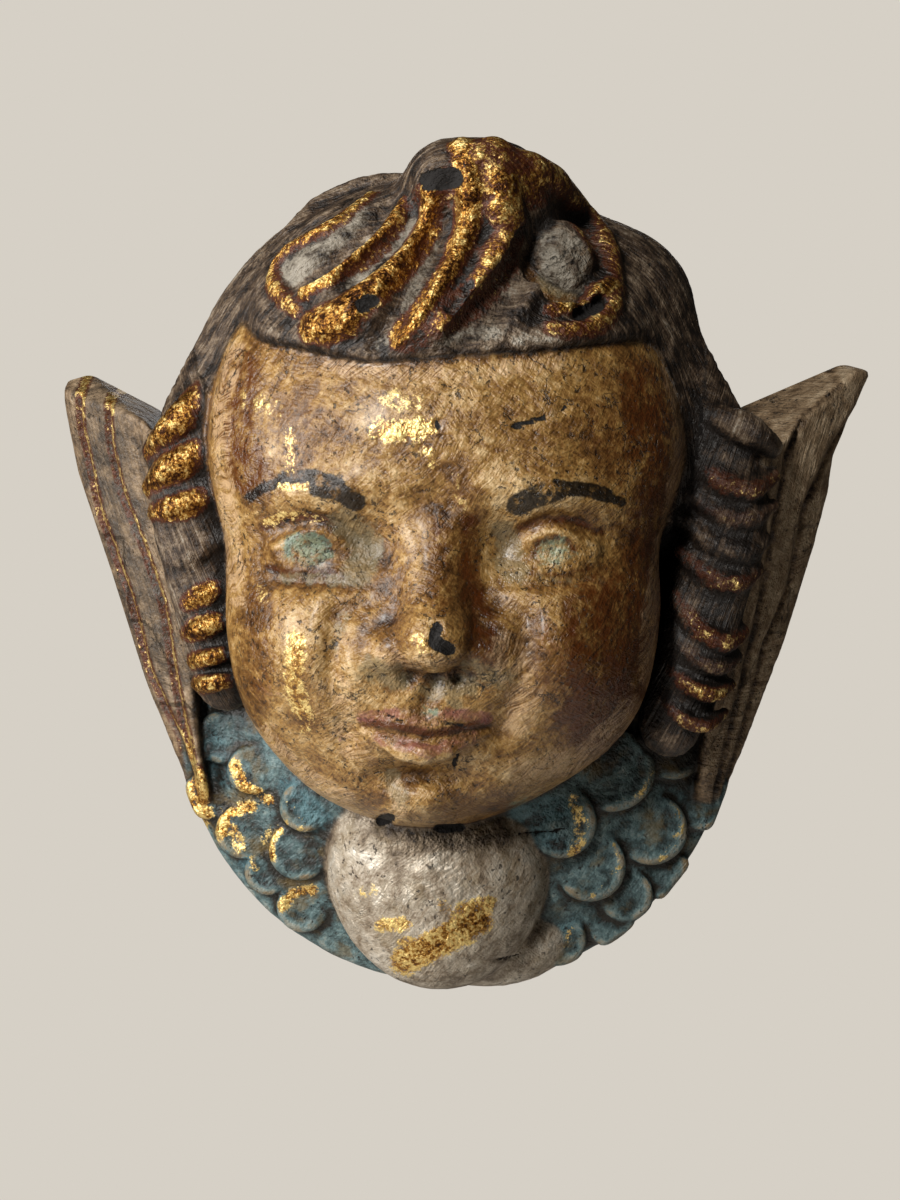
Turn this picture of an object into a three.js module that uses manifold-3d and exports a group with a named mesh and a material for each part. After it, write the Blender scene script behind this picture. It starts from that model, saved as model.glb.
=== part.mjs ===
// Wall ornament: a child's head with curled hair, two short wings and a collar of scales.
// It is one solid piece with a flat back that stands against a wall.
// The x axis runs to the right, the y axis into the wall and the z axis up.
// The origin is on the flat back, behind the nose.

import * as THREE from "three";
import { SimplifyModifier } from "three/addons/modifiers/SimplifyModifier.js";
import { mergeVertices } from "three/addons/utils/BufferGeometryUtils.js";
import Module from "manifold-3d";

// Overall sizes in millimetres.
const HEIGHT = 202;
const WIDTH = 199;
const PROUD = 86;

// The carving is laid out on a grid of units that is stretched to the overall sizes.
const GRID = { width: 199, proud: 86, height: 202 };

// Fineness of the modelled surface, in grid units and in triangles.
const CELL = 1.6;
const FRONT_TRIANGLES = 9600;

// Head: the middle of its outline, the depth of its widest section, its rise above that, the form of its
// dome and how much it draws in again towards the wall.
const HEAD = { x: -1, z: 14, base: 33, rise: 41, power: 2.25, backTaper: 0.7 };

// Half widths of the head at equal turns, beginning at the right ear and going over the top.
const HEAD_OUTLINE = [50, 60, 67.5, 74, 78, 75, 69, 60, 51.5, 54.5, 62, 66.5, 66.5, 63, 60.5, 53.5];

// Face: height of the eyes, half the distance between them, lean of the middle line.
const FACE = { eyeLine: 11, eyeApart: 26, middle: -4, lean: 0.06 };

// Hair: the rounded cap and the crest over the forehead.
const CAP = { x: 0, d: 18, z: 45, rx: 63, rd: 45, rz: 57 };
const SWELL = { x: 36, d: 16, z: 69, rx: 23, rd: 28, rz: 21.5 };
const HAIR_LIFT = 3;
const CREST_LIFT = 6;

// Collar: a low cone round a centre, rising from its edge to the neck.
const COLLAR = { x: 1.5, z: -26, radius: 69, edge: 8, slope: 0.62 };

const FAR = 60;

// Two shapes joined with a soft fillet.
function join(a, b, soft) {
  const h = Math.min(Math.max(0.5 + (0.5 * (b - a)) / soft, 0), 1);
  return b + (a - b) * h - soft * h * (1 - h);
}

// The part common to two shapes, with a soft edge.
function keep(a, b, soft) {
  return -join(-a, -b, soft);
}

// One shape with another hollowed out of it.
function hollow(a, b, soft) {
  return keep(a, -b, soft);
}

// Runs from 0 to 1 while the value goes from low to high.
function ramp(low, high, value) {
  const t = Math.min(Math.max((value - low) / (high - low), 0), 1);
  return t * t * (3 - 2 * t);
}

// A rounded hump of height 1 over a point, turned by an angle in degrees.
function hump(u, v, at, size, turn = 0) {
  const angle = THREE.MathUtils.degToRad(turn);
  const du = u - at[0];
  const dv = v - at[1];
  const a = (du * Math.cos(angle) + dv * Math.sin(angle)) / size[0];
  const b = (dv * Math.cos(angle) - du * Math.sin(angle)) / size[1];
  return Math.exp(-(a * a + b * b));
}

// Distance to an egg shape.
function egg(centre, radii) {
  const [cx, cd, cz] = centre;
  const [rx, rd, rz] = radii;
  return (x, d, z) => {
    const ux = (x - cx) / rx;
    const ud = (d - cd) / rd;
    const uz = (z - cz) / rz;
    const reach = Math.hypot(ux, ud, uz);
    return (reach * (reach - 1)) / Math.max(Math.hypot(ux / rx, ud / rd, uz / rz), 1e-4);
  };
}

// A smooth path through a few points.
function path(points, steps = 10) {
  const curve = new THREE.CatmullRomCurve3(points.map((p) => new THREE.Vector3(...p)));
  return curve.getPoints(steps);
}

const spot = new THREE.Vector3();

// Distance to a rod along a path, its thickness running through a list of radii.
function rod(points, radii) {
  const radiusAt = (t) => {
    const place = t * (radii.length - 1);
    const i = Math.min(Math.floor(place), radii.length - 2);
    return radii[i] + (radii[i + 1] - radii[i]) * (place - i);
  };
  const box = new THREE.Box3().setFromPoints(points).expandByScalar(Math.max(...radii) + 9);
  const spans = points.slice(1).map((end, i) => {
    const start = points[i];
    const run = end.clone().sub(start);
    return {
      start,
      run,
      length2: Math.max(run.lengthSq(), 1e-6),
      from: radiusAt(i / (points.length - 1)),
      to: radiusAt((i + 1) / (points.length - 1)),
    };
  });
  return (x, d, z) => {
    if (!box.containsPoint(spot.set(x, d, z))) {
      return FAR;
    }
    let nearest = FAR;
    for (const { start, run, length2, from, to } of spans) {
      const px = x - start.x;
      const pd = d - start.y;
      const pz = z - start.z;
      const t = Math.min(Math.max((px * run.x + pd * run.y + pz * run.z) / length2, 0), 1);
      const away = Math.hypot(px - t * run.x, pd - t * run.y, pz - t * run.z) - (from + t * (to - from));
      nearest = Math.min(nearest, away);
    }
    return nearest;
  };
}

// Reads a value between the pairs of a short table.
function between(table, at) {
  if (at <= table[0][0]) {
    return table[0][1];
  }
  for (let i = 1; i < table.length; i += 1) {
    const [a, va] = table[i - 1];
    const [b, vb] = table[i];
    if (at <= b) {
      return va + ((vb - va) * (at - a)) / (b - a);
    }
  }
  return table[table.length - 1][1];
}

// Half width of the head in a direction, read smoothly between the outline values.
function outlineAt(angle) {
  const count = HEAD_OUTLINE.length;
  const place = ((angle / (2 * Math.PI)) * count + count) % count;
  const i = Math.floor(place) % count;
  const f = place - Math.floor(place);
  const [a, b, c, e] = [-1, 0, 1, 2].map((step) => HEAD_OUTLINE[(i + step + count) % count]);
  const curve = (2 * a - 5 * b + 4 * c - e) * f * f + (3 * b - a - 3 * c + e) * f * f * f;
  return 0.5 * (2 * b + (c - a) * f + curve);
}

// Distance to the plain rounded head.
function head(x, d, z) {
  const px = x - HEAD.x;
  const pz = z - HEAD.z;
  const wide = outlineAt(Math.atan2(pz, px));
  const across = Math.hypot(px, pz) / wide;
  const deep = Math.max(d - HEAD.base, (HEAD.base - d) * HEAD.backTaper) / HEAD.rise;
  const q = HEAD.power;
  const sum = across ** q + deep ** q;
  const steep = Math.hypot(across ** (q - 1) / wide, deep ** (q - 1) / HEAD.rise);
  return (sum ** (1 / q) - 1) / Math.max(sum ** (1 / q - 1) * steep, 0.6 / 80);
}

// How far the plain head stands proud at a place.
function headDepth(x, z) {
  const px = x - HEAD.x;
  const pz = z - HEAD.z;
  const across = Math.hypot(px, pz) / outlineAt(Math.atan2(pz, px));
  return HEAD.base + HEAD.rise * Math.max(1 - across ** HEAD.power, 0) ** (1 / HEAD.power);
}

// Places on the front of a shape, lifted off it.
function onFront(shape, places, lift) {
  return places.map(([x, z]) => {
    let d = 2 * FAR;
    for (let pass = 0; pass < 60; pass += 1) {
      d -= 0.7 * shape(x, d, z);
    }
    return [x, Math.max(d, 0) + lift, z];
  });
}

// The middle line of the face at a height.
function middle(z) {
  return FACE.middle + FACE.lean * z;
}

// Rises and hollows of the face: height, place from between the eyes, size, turn.
const FACE_MIDDLE = [
  [2.4, [0, 27], [34, 15]],
  [-1.6, [0, 10], [7, 6]],
  [3.2, [0, -36], [13, 11]],
  [-3.4, [0, -49.6], [11, 3]],
  [3.6, [0, -57.5], [9, 5.5]],
];
const FACE_SIDES = [
  [2.0, [25, 12], [15, 4.5], -6],
  [-4.6, [26, 0], [14, 8.5], 0],
  [-4.4, [13.2, 0.5], [6, 9], 0],
  [-1.3, [25, -7.5], [12, 1.7], 4],
  [5.0, [29, -23], [16, 15], 0],
  [-1.7, [15.5, -12.5], [7, 2.4], -20],
  [-2.3, [20.5, -20.5], [2.8, 7.5], 0],
  [-1.2, [18.8, -32], [2.8, 6], -15],
  [1.5, [13.5, -25], [6, 6.5], 0],
  [-1.9, [16.5, -40], [3.6, 4.5], 0],
  [1.2, [17, -52], [8, 6], 0],
];

// The soft shapes of the face, as a lift of the head's surface.
function faceLift(x, z) {
  const u = x - middle(z);
  const v = z - FACE.eyeLine;
  let lift = 0;
  for (const [height, at, size] of FACE_MIDDLE) {
    lift += height * hump(u, v, at, size);
  }
  for (const side of [-1, 1]) {
    for (const [height, at, size, turn] of FACE_SIDES) {
      lift += height * hump(u, v, [side * at[0], at[1]], size, side * turn);
    }
  }
  return lift;
}

// Eye: the ball, both lids and the crease over the upper lid.
function eye(side) {
  const x = middle(FACE.eyeLine) + side * FACE.eyeApart;
  const z = FACE.eyeLine;
  const d = headDepth(x, z);
  const arc = (points) => path(points.map(([px, pd, pz]) => [x + side * px, d + pd, z + pz]));
  const ball = egg([x, d - 13, z - 0.4], [12, 10.6, 8.6]);
  const upper = arc([[-9, -4.4, -1], [-4.5, -2.9, 2.9], [1.5, -2.8, 3.8], [8.5, -5.8, 0.6]]);
  const lower = arc([[-9, -4.8, -1.2], [-2, -4.2, -4.6], [5.5, -5.4, -3.8], [9, -6.6, 0]]);
  const crease = arc([[-9, -2.4, 2], [-3.5, -0.8, 6], [3, -1.2, 6.6], [10, -5.4, 3.2]]);
  return {
    ball,
    upper: rod(upper, [0.7, 1.5, 1.5, 0.7]),
    lower: rod(lower, [0.5, 0.9, 0.5]),
    crease: rod(crease, [0.3, 0.7, 0.3]),
  };
}

// Nose: the bridge, the tip, the two sides and the nostrils.
function nose() {
  const x = middle(-9) + 1.2;
  const bridge = rod(path([[middle(12), 67, 16], [x - 0.8, 71.6, 5], [x, 75.2, -4.5]]), [3.4, 4.5, 5.8]);
  const tip = egg([x, 75.5, -8.6], [8.2, 9.2, 6.6]);
  const sides = [-1, 1].map((side) => egg([x + side * 10, 71, -10.8], [5, 6.6, 4.8]));
  const nostrils = [-1, 1].map((side) => egg([x + side * 5, 74.5, -16.6], [1.6, 3.4, 1.2]));
  return { x, bridge, tip, sides, nostrils };
}

// Mouth: both lips, the line between them and the groove under the nose.
function mouth(noseX) {
  const z = -29.5;
  const x = middle(z);
  const d = headDepth(x, z) + 2.6;
  const arc = (side, points) => path(points.map(([px, pd, pz]) => [x + side * px, d + pd, z + pz]));
  const lips = [-1, 1].flatMap((side) => [
    rod(arc(side, [[1, 0.2, 2.2], [5.2, 0.2, 2.8], [12.6, -3.6, 1.7]]), [1.9, 2.1, 0.7]),
    rod(arc(side, [[0.8, 0.2, -3.2], [4.8, -0.3, -3], [11, -3.6, 0.4]]), [2.6, 2.3, 0.7]),
  ]);
  const line = [[-14.4, -2.6, 1.7], [-7, 1.8, 0], [0, 2.7, -0.7], [7, 1.8, 0], [14.4, -2.6, 1.7]];
  const parting = rod(arc(1, line), [0.6, 1, 1, 0.6]);
  const groove = rod(path([[noseX, d + 3.8, -17.5], [x, d + 4.6, z + 6]]), [1.4, 2.2]);
  return { lips, parting, groove };
}

// The whole face.
function face() {
  const eyes = [eye(-1), eye(1)];
  const { x, bridge, tip, sides, nostrils } = nose();
  const { lips, parting, groove } = mouth(x);
  return (px, pd, pz) => {
    let f = head(px, pd, pz);
    if (Math.abs(f) > 20) {
      return f;
    }
    f -= faceLift(px, pz) * ramp(30, 52, pd);
    for (const { ball, upper, lower, crease } of eyes) {
      f = join(f, ball(px, pd, pz), 2.4);
      f = join(f, upper(px, pd, pz), 1.8);
      f = join(f, lower(px, pd, pz), 2.6);
      f = hollow(f, crease(px, pd, pz), 2.4);
    }
    f = join(f, bridge(px, pd, pz), 6);
    f = join(f, tip(px, pd, pz), 4);
    for (const one of sides) {
      f = join(f, one(px, pd, pz), 2.4);
    }
    for (const one of nostrils) {
      f = hollow(f, one(px, pd, pz), 2.2);
    }
    for (const one of lips) {
      f = join(f, one(px, pd, pz), 2.8);
    }
    f = hollow(f, parting(px, pd, pz), 1.2);
    return hollow(f, groove(px, pd, pz), 2.4);
  };
}

// Ridges of the crest: places on the hair, thickness along them, lift of their middle.
const RIDGES = [
  [
    [[-17.8, 91], [-23.3, 85], [-28.9, 81.2], [-35.6, 78], [-39, 73.5], [-38, 68.5], [-33, 63.5]],
    [1.4, 1.9, 2.1, 2.2, 2.2, 2.1, 2],
    -0.6,
  ],
  [
    [[-10, 87.5], [-13.3, 81.1], [-17.8, 76.2], [-24.4, 71.8], [-31.1, 67.3]],
    [1.6, 2.3, 2.6, 2.7, 2.2],
    -0.7,
  ],
  [
    [[-4, 90], [-4.4, 83.3], [-7.8, 76.7], [-13.3, 70], [-17.8, 65.6], [-23.3, 60.4], [-28.5, 59.5]],
    [2, 2.4, 2.6, 3.1, 3.9, 4.5, 4],
    -1.6,
  ],
  [
    [[2.8, 98.2], [4.2, 90], [4.4, 83.3], [1.6, 75.6], [-1.8, 68.9], [-6.7, 62.2], [-10.9, 56.2]],
    [3, 3.2, 3.3, 3.2, 3.1, 2.7, 2],
    -0.6,
  ],
  [
    [[9.4, 97], [10.6, 87.8], [11.8, 80], [10, 73.3], [6.6, 66.7], [0, 60.8], [-8.4, 55.2]],
    [4.6, 5, 5, 4.8, 4.2, 3.2, 2],
    -1.6,
  ],
  [[[6.5, 95.8], [20, 94.4], [29, 89.8], [35, 81], [36.4, 69]], [4.5, 4.2, 4.2, 3.6, 2.6], -1.4],
  [[[35.4, 69.4], [31.2, 67.3], [26.5, 64.7], [21.5, 63]], [2.6, 2.2, 1.4], -0.6],
  [[[36.3, 66], [32.8, 61.2], [27.2, 58.7], [21.4, 59.1]], [2.4, 2.2, 1.4], -0.6],
  [[[-11.5, 98.2], [-20.7, 97], [-29.9, 93.1], [-37.9, 86.2]], [2.4, 3.2, 3, 1.6], -1.5],
];

// Hollows between the ridges, told in the same way.
const HOLLOWS = [
  [[[-14.4, 89], [-18.9, 82.6], [-24.4, 77.3], [-30, 73.3], [-34.9, 71]], [2.2, 3.7, 4.4, 4.2, 2.6], 1.4],
  [
    [[-8.4, 84.4], [-11.1, 80.4], [-15.6, 75.4], [-20.9, 70.6], [-26, 66.6]],
    [1.2, 2.3, 2.8, 2.4, 1.2],
    0.7,
  ],
  [
    [[-0.7, 89.5], [-1.8, 82.2], [-4.4, 75.6], [-7.8, 68.9], [-12.2, 61.1], [-15.8, 55.2]],
    [1.8, 3.3, 4.2, 4.2, 3.8, 2.4],
    1.4,
  ],
  [[[4.4, 67.8], [0, 62.6]], [0.8, 1.4], 1.2],
  [[[16.6, 80], [14.9, 71.5], [9.8, 63.5], [2.6, 56.7]], [2.8, 4.6, 5.4, 3.8], 1.1],
  [[[28, 62.2], [33, 66.3]], [1.1, 1.3], 0.4],
  [[[-20, 94], [-26.4, 88.6], [-33.5, 84.8], [-41, 80.6]], [0.8, 1.5, 1.5, 0.8], 0.2],
];

// The plain body of the hair: cap, fringe, crest and crown.
function hairBody() {
  const cap = egg([CAP.x, CAP.d, CAP.z], [CAP.rx, CAP.rd, CAP.rz]);
  const swell = egg([SWELL.x, SWELL.d, SWELL.z], [SWELL.rx, SWELL.rd, SWELL.rz]);
  const crown = egg([7, 46, 91], [17, 22, 13.6]);
  const tuft = egg([-0.7, 54, 93.2], [9, 15, 9]);
  return (x, d, z) => {
    const plain = head(x, d, z);
    const hairline = 53 + 5 * ((x + 2) / 42) ** 2 - 2 * Math.exp(-(((x + 18) / 14) ** 2));
    let fringe = keep(plain - HAIR_LIFT, (hairline - z) * 0.95, 3);
    fringe = keep(fringe, (Math.hypot(x / 46, (z - 66) / 42) - 1) * 38, 5);
    let crest = keep(plain - CREST_LIFT, (Math.hypot((x + 6.5) / 30, (z - 77) / 21) - 1) * 20, 4);
    crest = keep(crest, 56.5 - z - (0.22 * (x + 14) ** 2) / 14, 2.5);
    let f = join(join(cap(x, d, z), swell(x, d, z), 4), fringe, 5);
    f = join(f, crest, 3);
    f = join(f, crown(x, d, z), 7);
    return join(f, tuft(x, d, z), 4);
  };
}

// The hair over the top with its locks and the round curl.
function hair() {
  const body = hairBody();
  const ridges = RIDGES.map(([places, radii, lift]) => rod(path(onFront(body, places, lift)), radii));
  const hollows = HOLLOWS.map(([places, radii, lift]) => rod(path(onFront(body, places, lift)), radii));
  const [[x, d, z]] = onFront(body, [[24.4, 75.2]], 0);
  const bowl = egg([x, d + 2.5, z], [9.2, 6.6, 11.2]);
  const button = egg([x, d - 4.5, z], [7.7, 5.4, 9.8]);
  return (px, pd, pz) => {
    let f = body(px, pd, pz);
    for (const one of ridges) {
      f = join(f, one(px, pd, pz), 1.6);
    }
    for (const one of hollows) {
      f = hollow(f, one(px, pd, pz), 1.2);
    }
    f = hollow(f, bowl(px, pd, pz), 1.5);
    return join(f, button(px, pd, pz), 1);
  };
}

// Curls beside the face. Each lock has its height at the outer and the inner edge, its sag and its thickness.
const CURLS = [
  {
    root: [[-51, 6, 22], [7, 14, 18]],
    core: [[-50, 24, 60], [-58, 28, 44], [-61, 29, 24], [-57, 29, 2], [-53, 29, -19]],
    outer: [[-20, -60], [0, -63], [12, -67.5], [24, -70.5], [40, -69.5]],
    inner: [[-19, -50], [48, -57]],
    depths: [28, 36, 38, 36],
    locks: [
      [35, 48.4, 1, 4.4],
      [26.7, 35.8, 0, 4.6],
      [20.6, 25.1, 1, 3.4],
      [10.4, 14, 2, 2.2],
      [-1.7, 3.3, 0, 2.6],
      [-8, -4.2, 0, 2.8],
      [-14.7, -12.1, 0, 2.4],
      [-19.9, -18.6, 0, 2.4],
    ],
  },
  {
    root: [[53, 6, 20], [7, 14, 16]],
    core: [[51, 24, 60], [61, 28, 41], [65, 29, 20], [61, 29, 2], [56, 29, -18], [52, 29, -30]],
    outer: [[-26, 64.5], [-8, 69], [8, 72.5], [20, 76], [36, 76]],
    inner: [[-23, 49.5], [44, 58.5]],
    depths: [30, 37.5, 37.5, 34],
    locks: [
      [36.3, 43.9, 0, 4.4],
      [29.2, 33.2, 5.6, 3.4],
      [22.4, 25.2, 4.8, 2.8],
      [14.1, 18.7, 5, 3],
      [7.1, 11.2, 5, 3],
      [-7.5, 0.9, 6, 3],
      [-13.2, -7, 5, 2.6],
      [-19.8, -15, 4, 2.6],
      [-26.4, -23.4, 4, 2.2],
    ],
  },
];

// The column reaches straight back to the wall behind its front.
const COLUMN_FRONT = 28;

function curls({ root, core, outer, inner, depths, locks }) {
  const foot = egg(...root);
  const body = rod(path(core, 12), [7, 9.6, 9.8, 9, 7]);
  const rods = locks.map(([outerZ, innerZ, sag, thick]) => {
    const from = between(outer, outerZ);
    const to = between(inner, innerZ);
    const places = depths.map((d, i) => {
      const t = i / (depths.length - 1);
      return [from + (to - from) * t, d, outerZ + (innerZ - outerZ) * t - sag * 4 * t * (1 - t)];
    });
    return rod(path(places, 8), [thick * 0.55, thick * 0.85, thick * 0.85, thick * 0.55]);
  });
  return (x, d, z) => {
    const column = join(body(x, Math.max(d, COLUMN_FRONT), z), foot(x, d, z), 2);
    return rods.reduce((f, one) => join(f, one(x, d, z), 1.8), column);
  };
}

// Distance from a plane that faces a direction.
function plane([x, d, z], facing) {
  const n = new THREE.Vector3(...facing).normalize();
  return (px, pd, pz) => (px - x) * n.x + (pd - d) * n.y + (pz - z) * n.z;
}

// Wings: the outer edge, two feather edges and the inner edge, each by height and sideways place.
const WINGS = [
  {
    side: -1,
    outer: [[-59.1, -60.1], [-48.7, -64], [-19.7, -76.3], [7.4, -84.9], [31.9, -93.4], [49, -95.9]],
    inner: [[-57.7, -57.7], [-23.7, -63.4], [18.8, -70.7], [47.1, -75.4]],
    feathers: [
      [[-46.4, -62], [-34.5, -65.4], [-17, -73.9], [2.4, -78.7], [21.8, -86], [42.4, -90.1]],
      [[-38.5, -62.5], [-21.5, -65.8], [0, -68.8], [12.6, -73.3], [26.7, -79], [38.1, -81.4]],
    ],
    front: [[-60.8, 8, -55.4], [-0.74, 0.62, -0.23]],
    ends: [
      [[-96, 10, 48.8], [-0.244, 0.489, 0.838]],
      [[-88, 0, 55.5], [0.454, 0.154, 0.878]],
    ],
    foot: [[-62, 10, -50], [0, 0.5, -0.86]],
  },
  {
    side: 1,
    outer: [
      [-60.3, 62], [-51.7, 66.5], [-28.3, 76.3], [-9.8, 83.7],
      [13.5, 90.9], [27, 94.2], [35.6, 95.1], [56.2, 104.5],
    ],
    inner: [[-59.4, 59.6], [-26, 62.7], [9.4, 70.9], [46.9, 75.1]],
    feathers: [
      [
        [-48.8, 66.4], [-21.8, 73.9], [-10.6, 76.5], [3.6, 82.8],
        [24.1, 86.4], [38.1, 93.4], [48.3, 101.1], [49.5, 109.8],
      ],
      [[-45.9, 64.2], [-28.6, 68], [0, 74.3], [18.9, 77.1], [35.5, 79.7], [44.5, 84.7], [52, 94.6]],
    ],
    front: [[65, 9, -54.6], [0.74, 0.62, -0.23]],
    ends: [
      [[101.5, 12, 54.8], [-0.36, 0.4, 0.84]],
      [[100, 12, 56], [0.25, 0.2, 0.947]],
    ],
    foot: [[66, 10, -50], [0, 0.5, -0.86]],
  },
];
const FEATHER_STEP = 1.5;

function wing({ side, outer, inner, feathers, front, ends, foot }) {
  const frontPlane = plane(...front);
  const endPlanes = ends.map((end) => plane(...end));
  const footPlane = plane(...foot);
  return (x, d, z) => {
    if (side * x < 50) {
      return FAR;
    }
    const within = (edge) => side * (between(edge, z) - x) * 0.94;
    let step = 0;
    for (const edge of feathers) {
      const t = within(edge);
      step += FEATHER_STEP * ramp(-0.5, 0.5, t) - Math.exp(-(((t + 0.4) / 0.9) ** 2));
      step -= 0.1 * Math.min(Math.max(t, 0), 14);
    }
    let f = keep(frontPlane(x, d, z) - step + 0.8, -within(outer), 2);
    for (const one of endPlanes) {
      f = keep(f, one(x, d, z), 1.2);
    }
    f = keep(f, footPlane(x, d, z), 3);
    f = keep(f, within(inner) - 1 - 3 * ramp(-40, 0, z), 2);
    return keep(f, d - 38, 4);
  };
}

// Scales of the collar: direction in degrees, share of the collar's radius, size.
const SCALES = [
  [187.5, 0.831, 6.5],
  [196.9, 0.745, 6],
  [199.8, 0.944, 5.8],
  [210.4, 0.873, 6.7],
  [221.3, 0.885, 5.8],
  [212.8, 0.618, 6.3],
  [222.3, 0.737, 7.5],
  [232.5, 0.889, 6.5],
  [351, 0.764, 9.2],
  [339.3, 0.941, 7.7],
  [338.8, 0.575, 10.1],
  [327.9, 0.811, 8.7],
  [312.8, 0.523, 8.7],
  [310.3, 0.721, 8.7],
  [311.9, 0.9, 6.7],
  [321.2, 0.967, 6.3],
  [305.4, 0.955, 5.8],
  [294, 0.904, 6.5],
];

function collar() {
  const steep = Math.hypot(1, COLLAR.slope);
  const placed = SCALES.map(([turn, share, size]) => {
    const angle = THREE.MathUtils.degToRad(turn);
    const c = Math.cos(angle);
    const s = Math.sin(angle);
    return { c, s, size, x: COLLAR.x + c * share * COLLAR.radius, z: COLLAR.z + s * share * COLLAR.radius };
  });
  return (x, d, z) => {
    const away = Math.hypot(x - COLLAR.x, z - COLLAR.z);
    const above = (d - (COLLAR.edge + COLLAR.slope * (COLLAR.radius - away))) / steep;
    let f = keep(above + 0.9, away - COLLAR.radius, 3);
    for (const { c, s, size, x: sx, z: sz } of placed) {
      const out = (x - sx) * c + (z - sz) * s;
      const along = (z - sz) * c - (x - sx) * s;
      const far = Math.hypot(out * 0.94, along);
      if (far > size + 6) {
        continue;
      }
      const rim = 0.5 * Math.exp(-(((far - size + 1.5) / 1.2) ** 2)) * ramp(-1, 4, out);
      const top = above - (0.2 + 0.3 * out - 0.012 * out * out + rim);
      const scale = keep(keep(top, (far - size) * 0.95, 1), away - COLLAR.radius - 0.8, 1.5);
      f = join(f, scale, 0.6);
    }
    return f;
  };
}

// The rounded breast under the chin, with a lower fold.
function breast() {
  const upper = egg([-3, 16, -61], [27.5, 22, 33.5]);
  const lower = egg([9, 4, -82.5], [22, 15, 13]);
  return (x, d, z) => {
    const around = (Math.hypot((x + 1) / 31, (z + 60) / 35) - 1) * 30;
    return join(keep(upper(x, d, z), around, 3), lower(x, d, z), 1.2);
  };
}

// The complete carving on the layout grid.
function carving() {
  const [theFace, theHair, theCollar, theBreast] = [face(), hair(), collar(), breast()];
  const theCurls = CURLS.map(curls);
  const theWings = WINGS.map(wing);
  return (x, d, z) => {
    const allHair = theCurls.reduce((f, one) => join(f, one(x, d, z), 6), theHair(x, d, z));
    let f = join(theFace(x, d, z), allHair, 0.8);
    for (const one of theWings) {
      f = join(f, one(x, d, z), 2);
    }
    const low = join(theCollar(x, d, z), theBreast(x, d, z), 0.8);
    return keep(join(f, low, 1), -(d + 4), 1);
  };
}

// Nodes along a block of the grid, and how far from a block the surface may run unseen.
const BLOCK = 4;
const BLOCK_MARGIN = 3;

// The six slanted blocks that fill a cube of the grid, by its corners.
const BLOCKS = [[0, 1, 3, 7], [0, 3, 2, 7], [0, 2, 6, 7], [0, 6, 4, 7], [0, 4, 5, 7], [0, 5, 1, 7]];

// Corner orders of a block that keep its handedness: one against three, and two against two.
const ONE_AGAINST_THREE = [[0, 1, 2, 3], [1, 0, 3, 2], [2, 0, 1, 3], [3, 0, 2, 1]];
const TWO_AGAINST_TWO = [[0, 1, 2, 3], [0, 2, 3, 1], [0, 3, 1, 2], [1, 2, 0, 3], [1, 3, 2, 0], [2, 3, 0, 1]];

// The polygon in which the surface crosses one block, as pairs of an inner and an outer corner.
function crossing(inside) {
  const count = inside.filter(Boolean).length;
  if (count === 0 || count === 4) {
    return [];
  }
  if (count === 2) {
    const [i, j, k, l] = TWO_AGAINST_TWO.find(([a, b]) => inside[a] && inside[b]);
    return [[j, k], [i, k], [i, l], [j, l]];
  }
  const lone = inside.findIndex((one) => one === (count === 1));
  const [i, j, k, l] = ONE_AGAINST_THREE[lone];
  return count === 1 ? [[i, j], [i, k], [i, l]] : [[i, l], [i, k], [i, j]];
}

// Distances at the nodes of a grid. Far from the surface one distance serves a whole block of nodes.
function sampled(shape, low, cell, [nx, ny, nz]) {
  const values = new Float32Array(nx * ny * nz);
  const near = BLOCK * cell + BLOCK_MARGIN;
  const at = (steps) => steps.map((step, k) => low[k] + step * cell);
  const counted = (count, step, start) => Array.from({ length: count }, (_, n) => start + n * step);
  const blocksAlong = (count) => counted(Math.ceil(count / BLOCK), BLOCK, 0);
  const nodesAlong = (start, count) => counted(Math.min(BLOCK, count - start), 1, start);
  for (const k0 of blocksAlong(nz)) {
    for (const j0 of blocksAlong(ny)) {
      for (const i0 of blocksAlong(nx)) {
        const rough = shape(...at([i0, j0, k0].map((start) => start + (BLOCK - 1) / 2)));
        for (const k of nodesAlong(k0, nz)) {
          for (const j of nodesAlong(j0, ny)) {
            for (const i of nodesAlong(i0, nx)) {
              values[i + nx * (j + ny * k)] = Math.abs(rough) > near ? rough : shape(...at([i, j, k]));
            }
          }
        }
      }
    }
  }
  return values;
}

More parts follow.
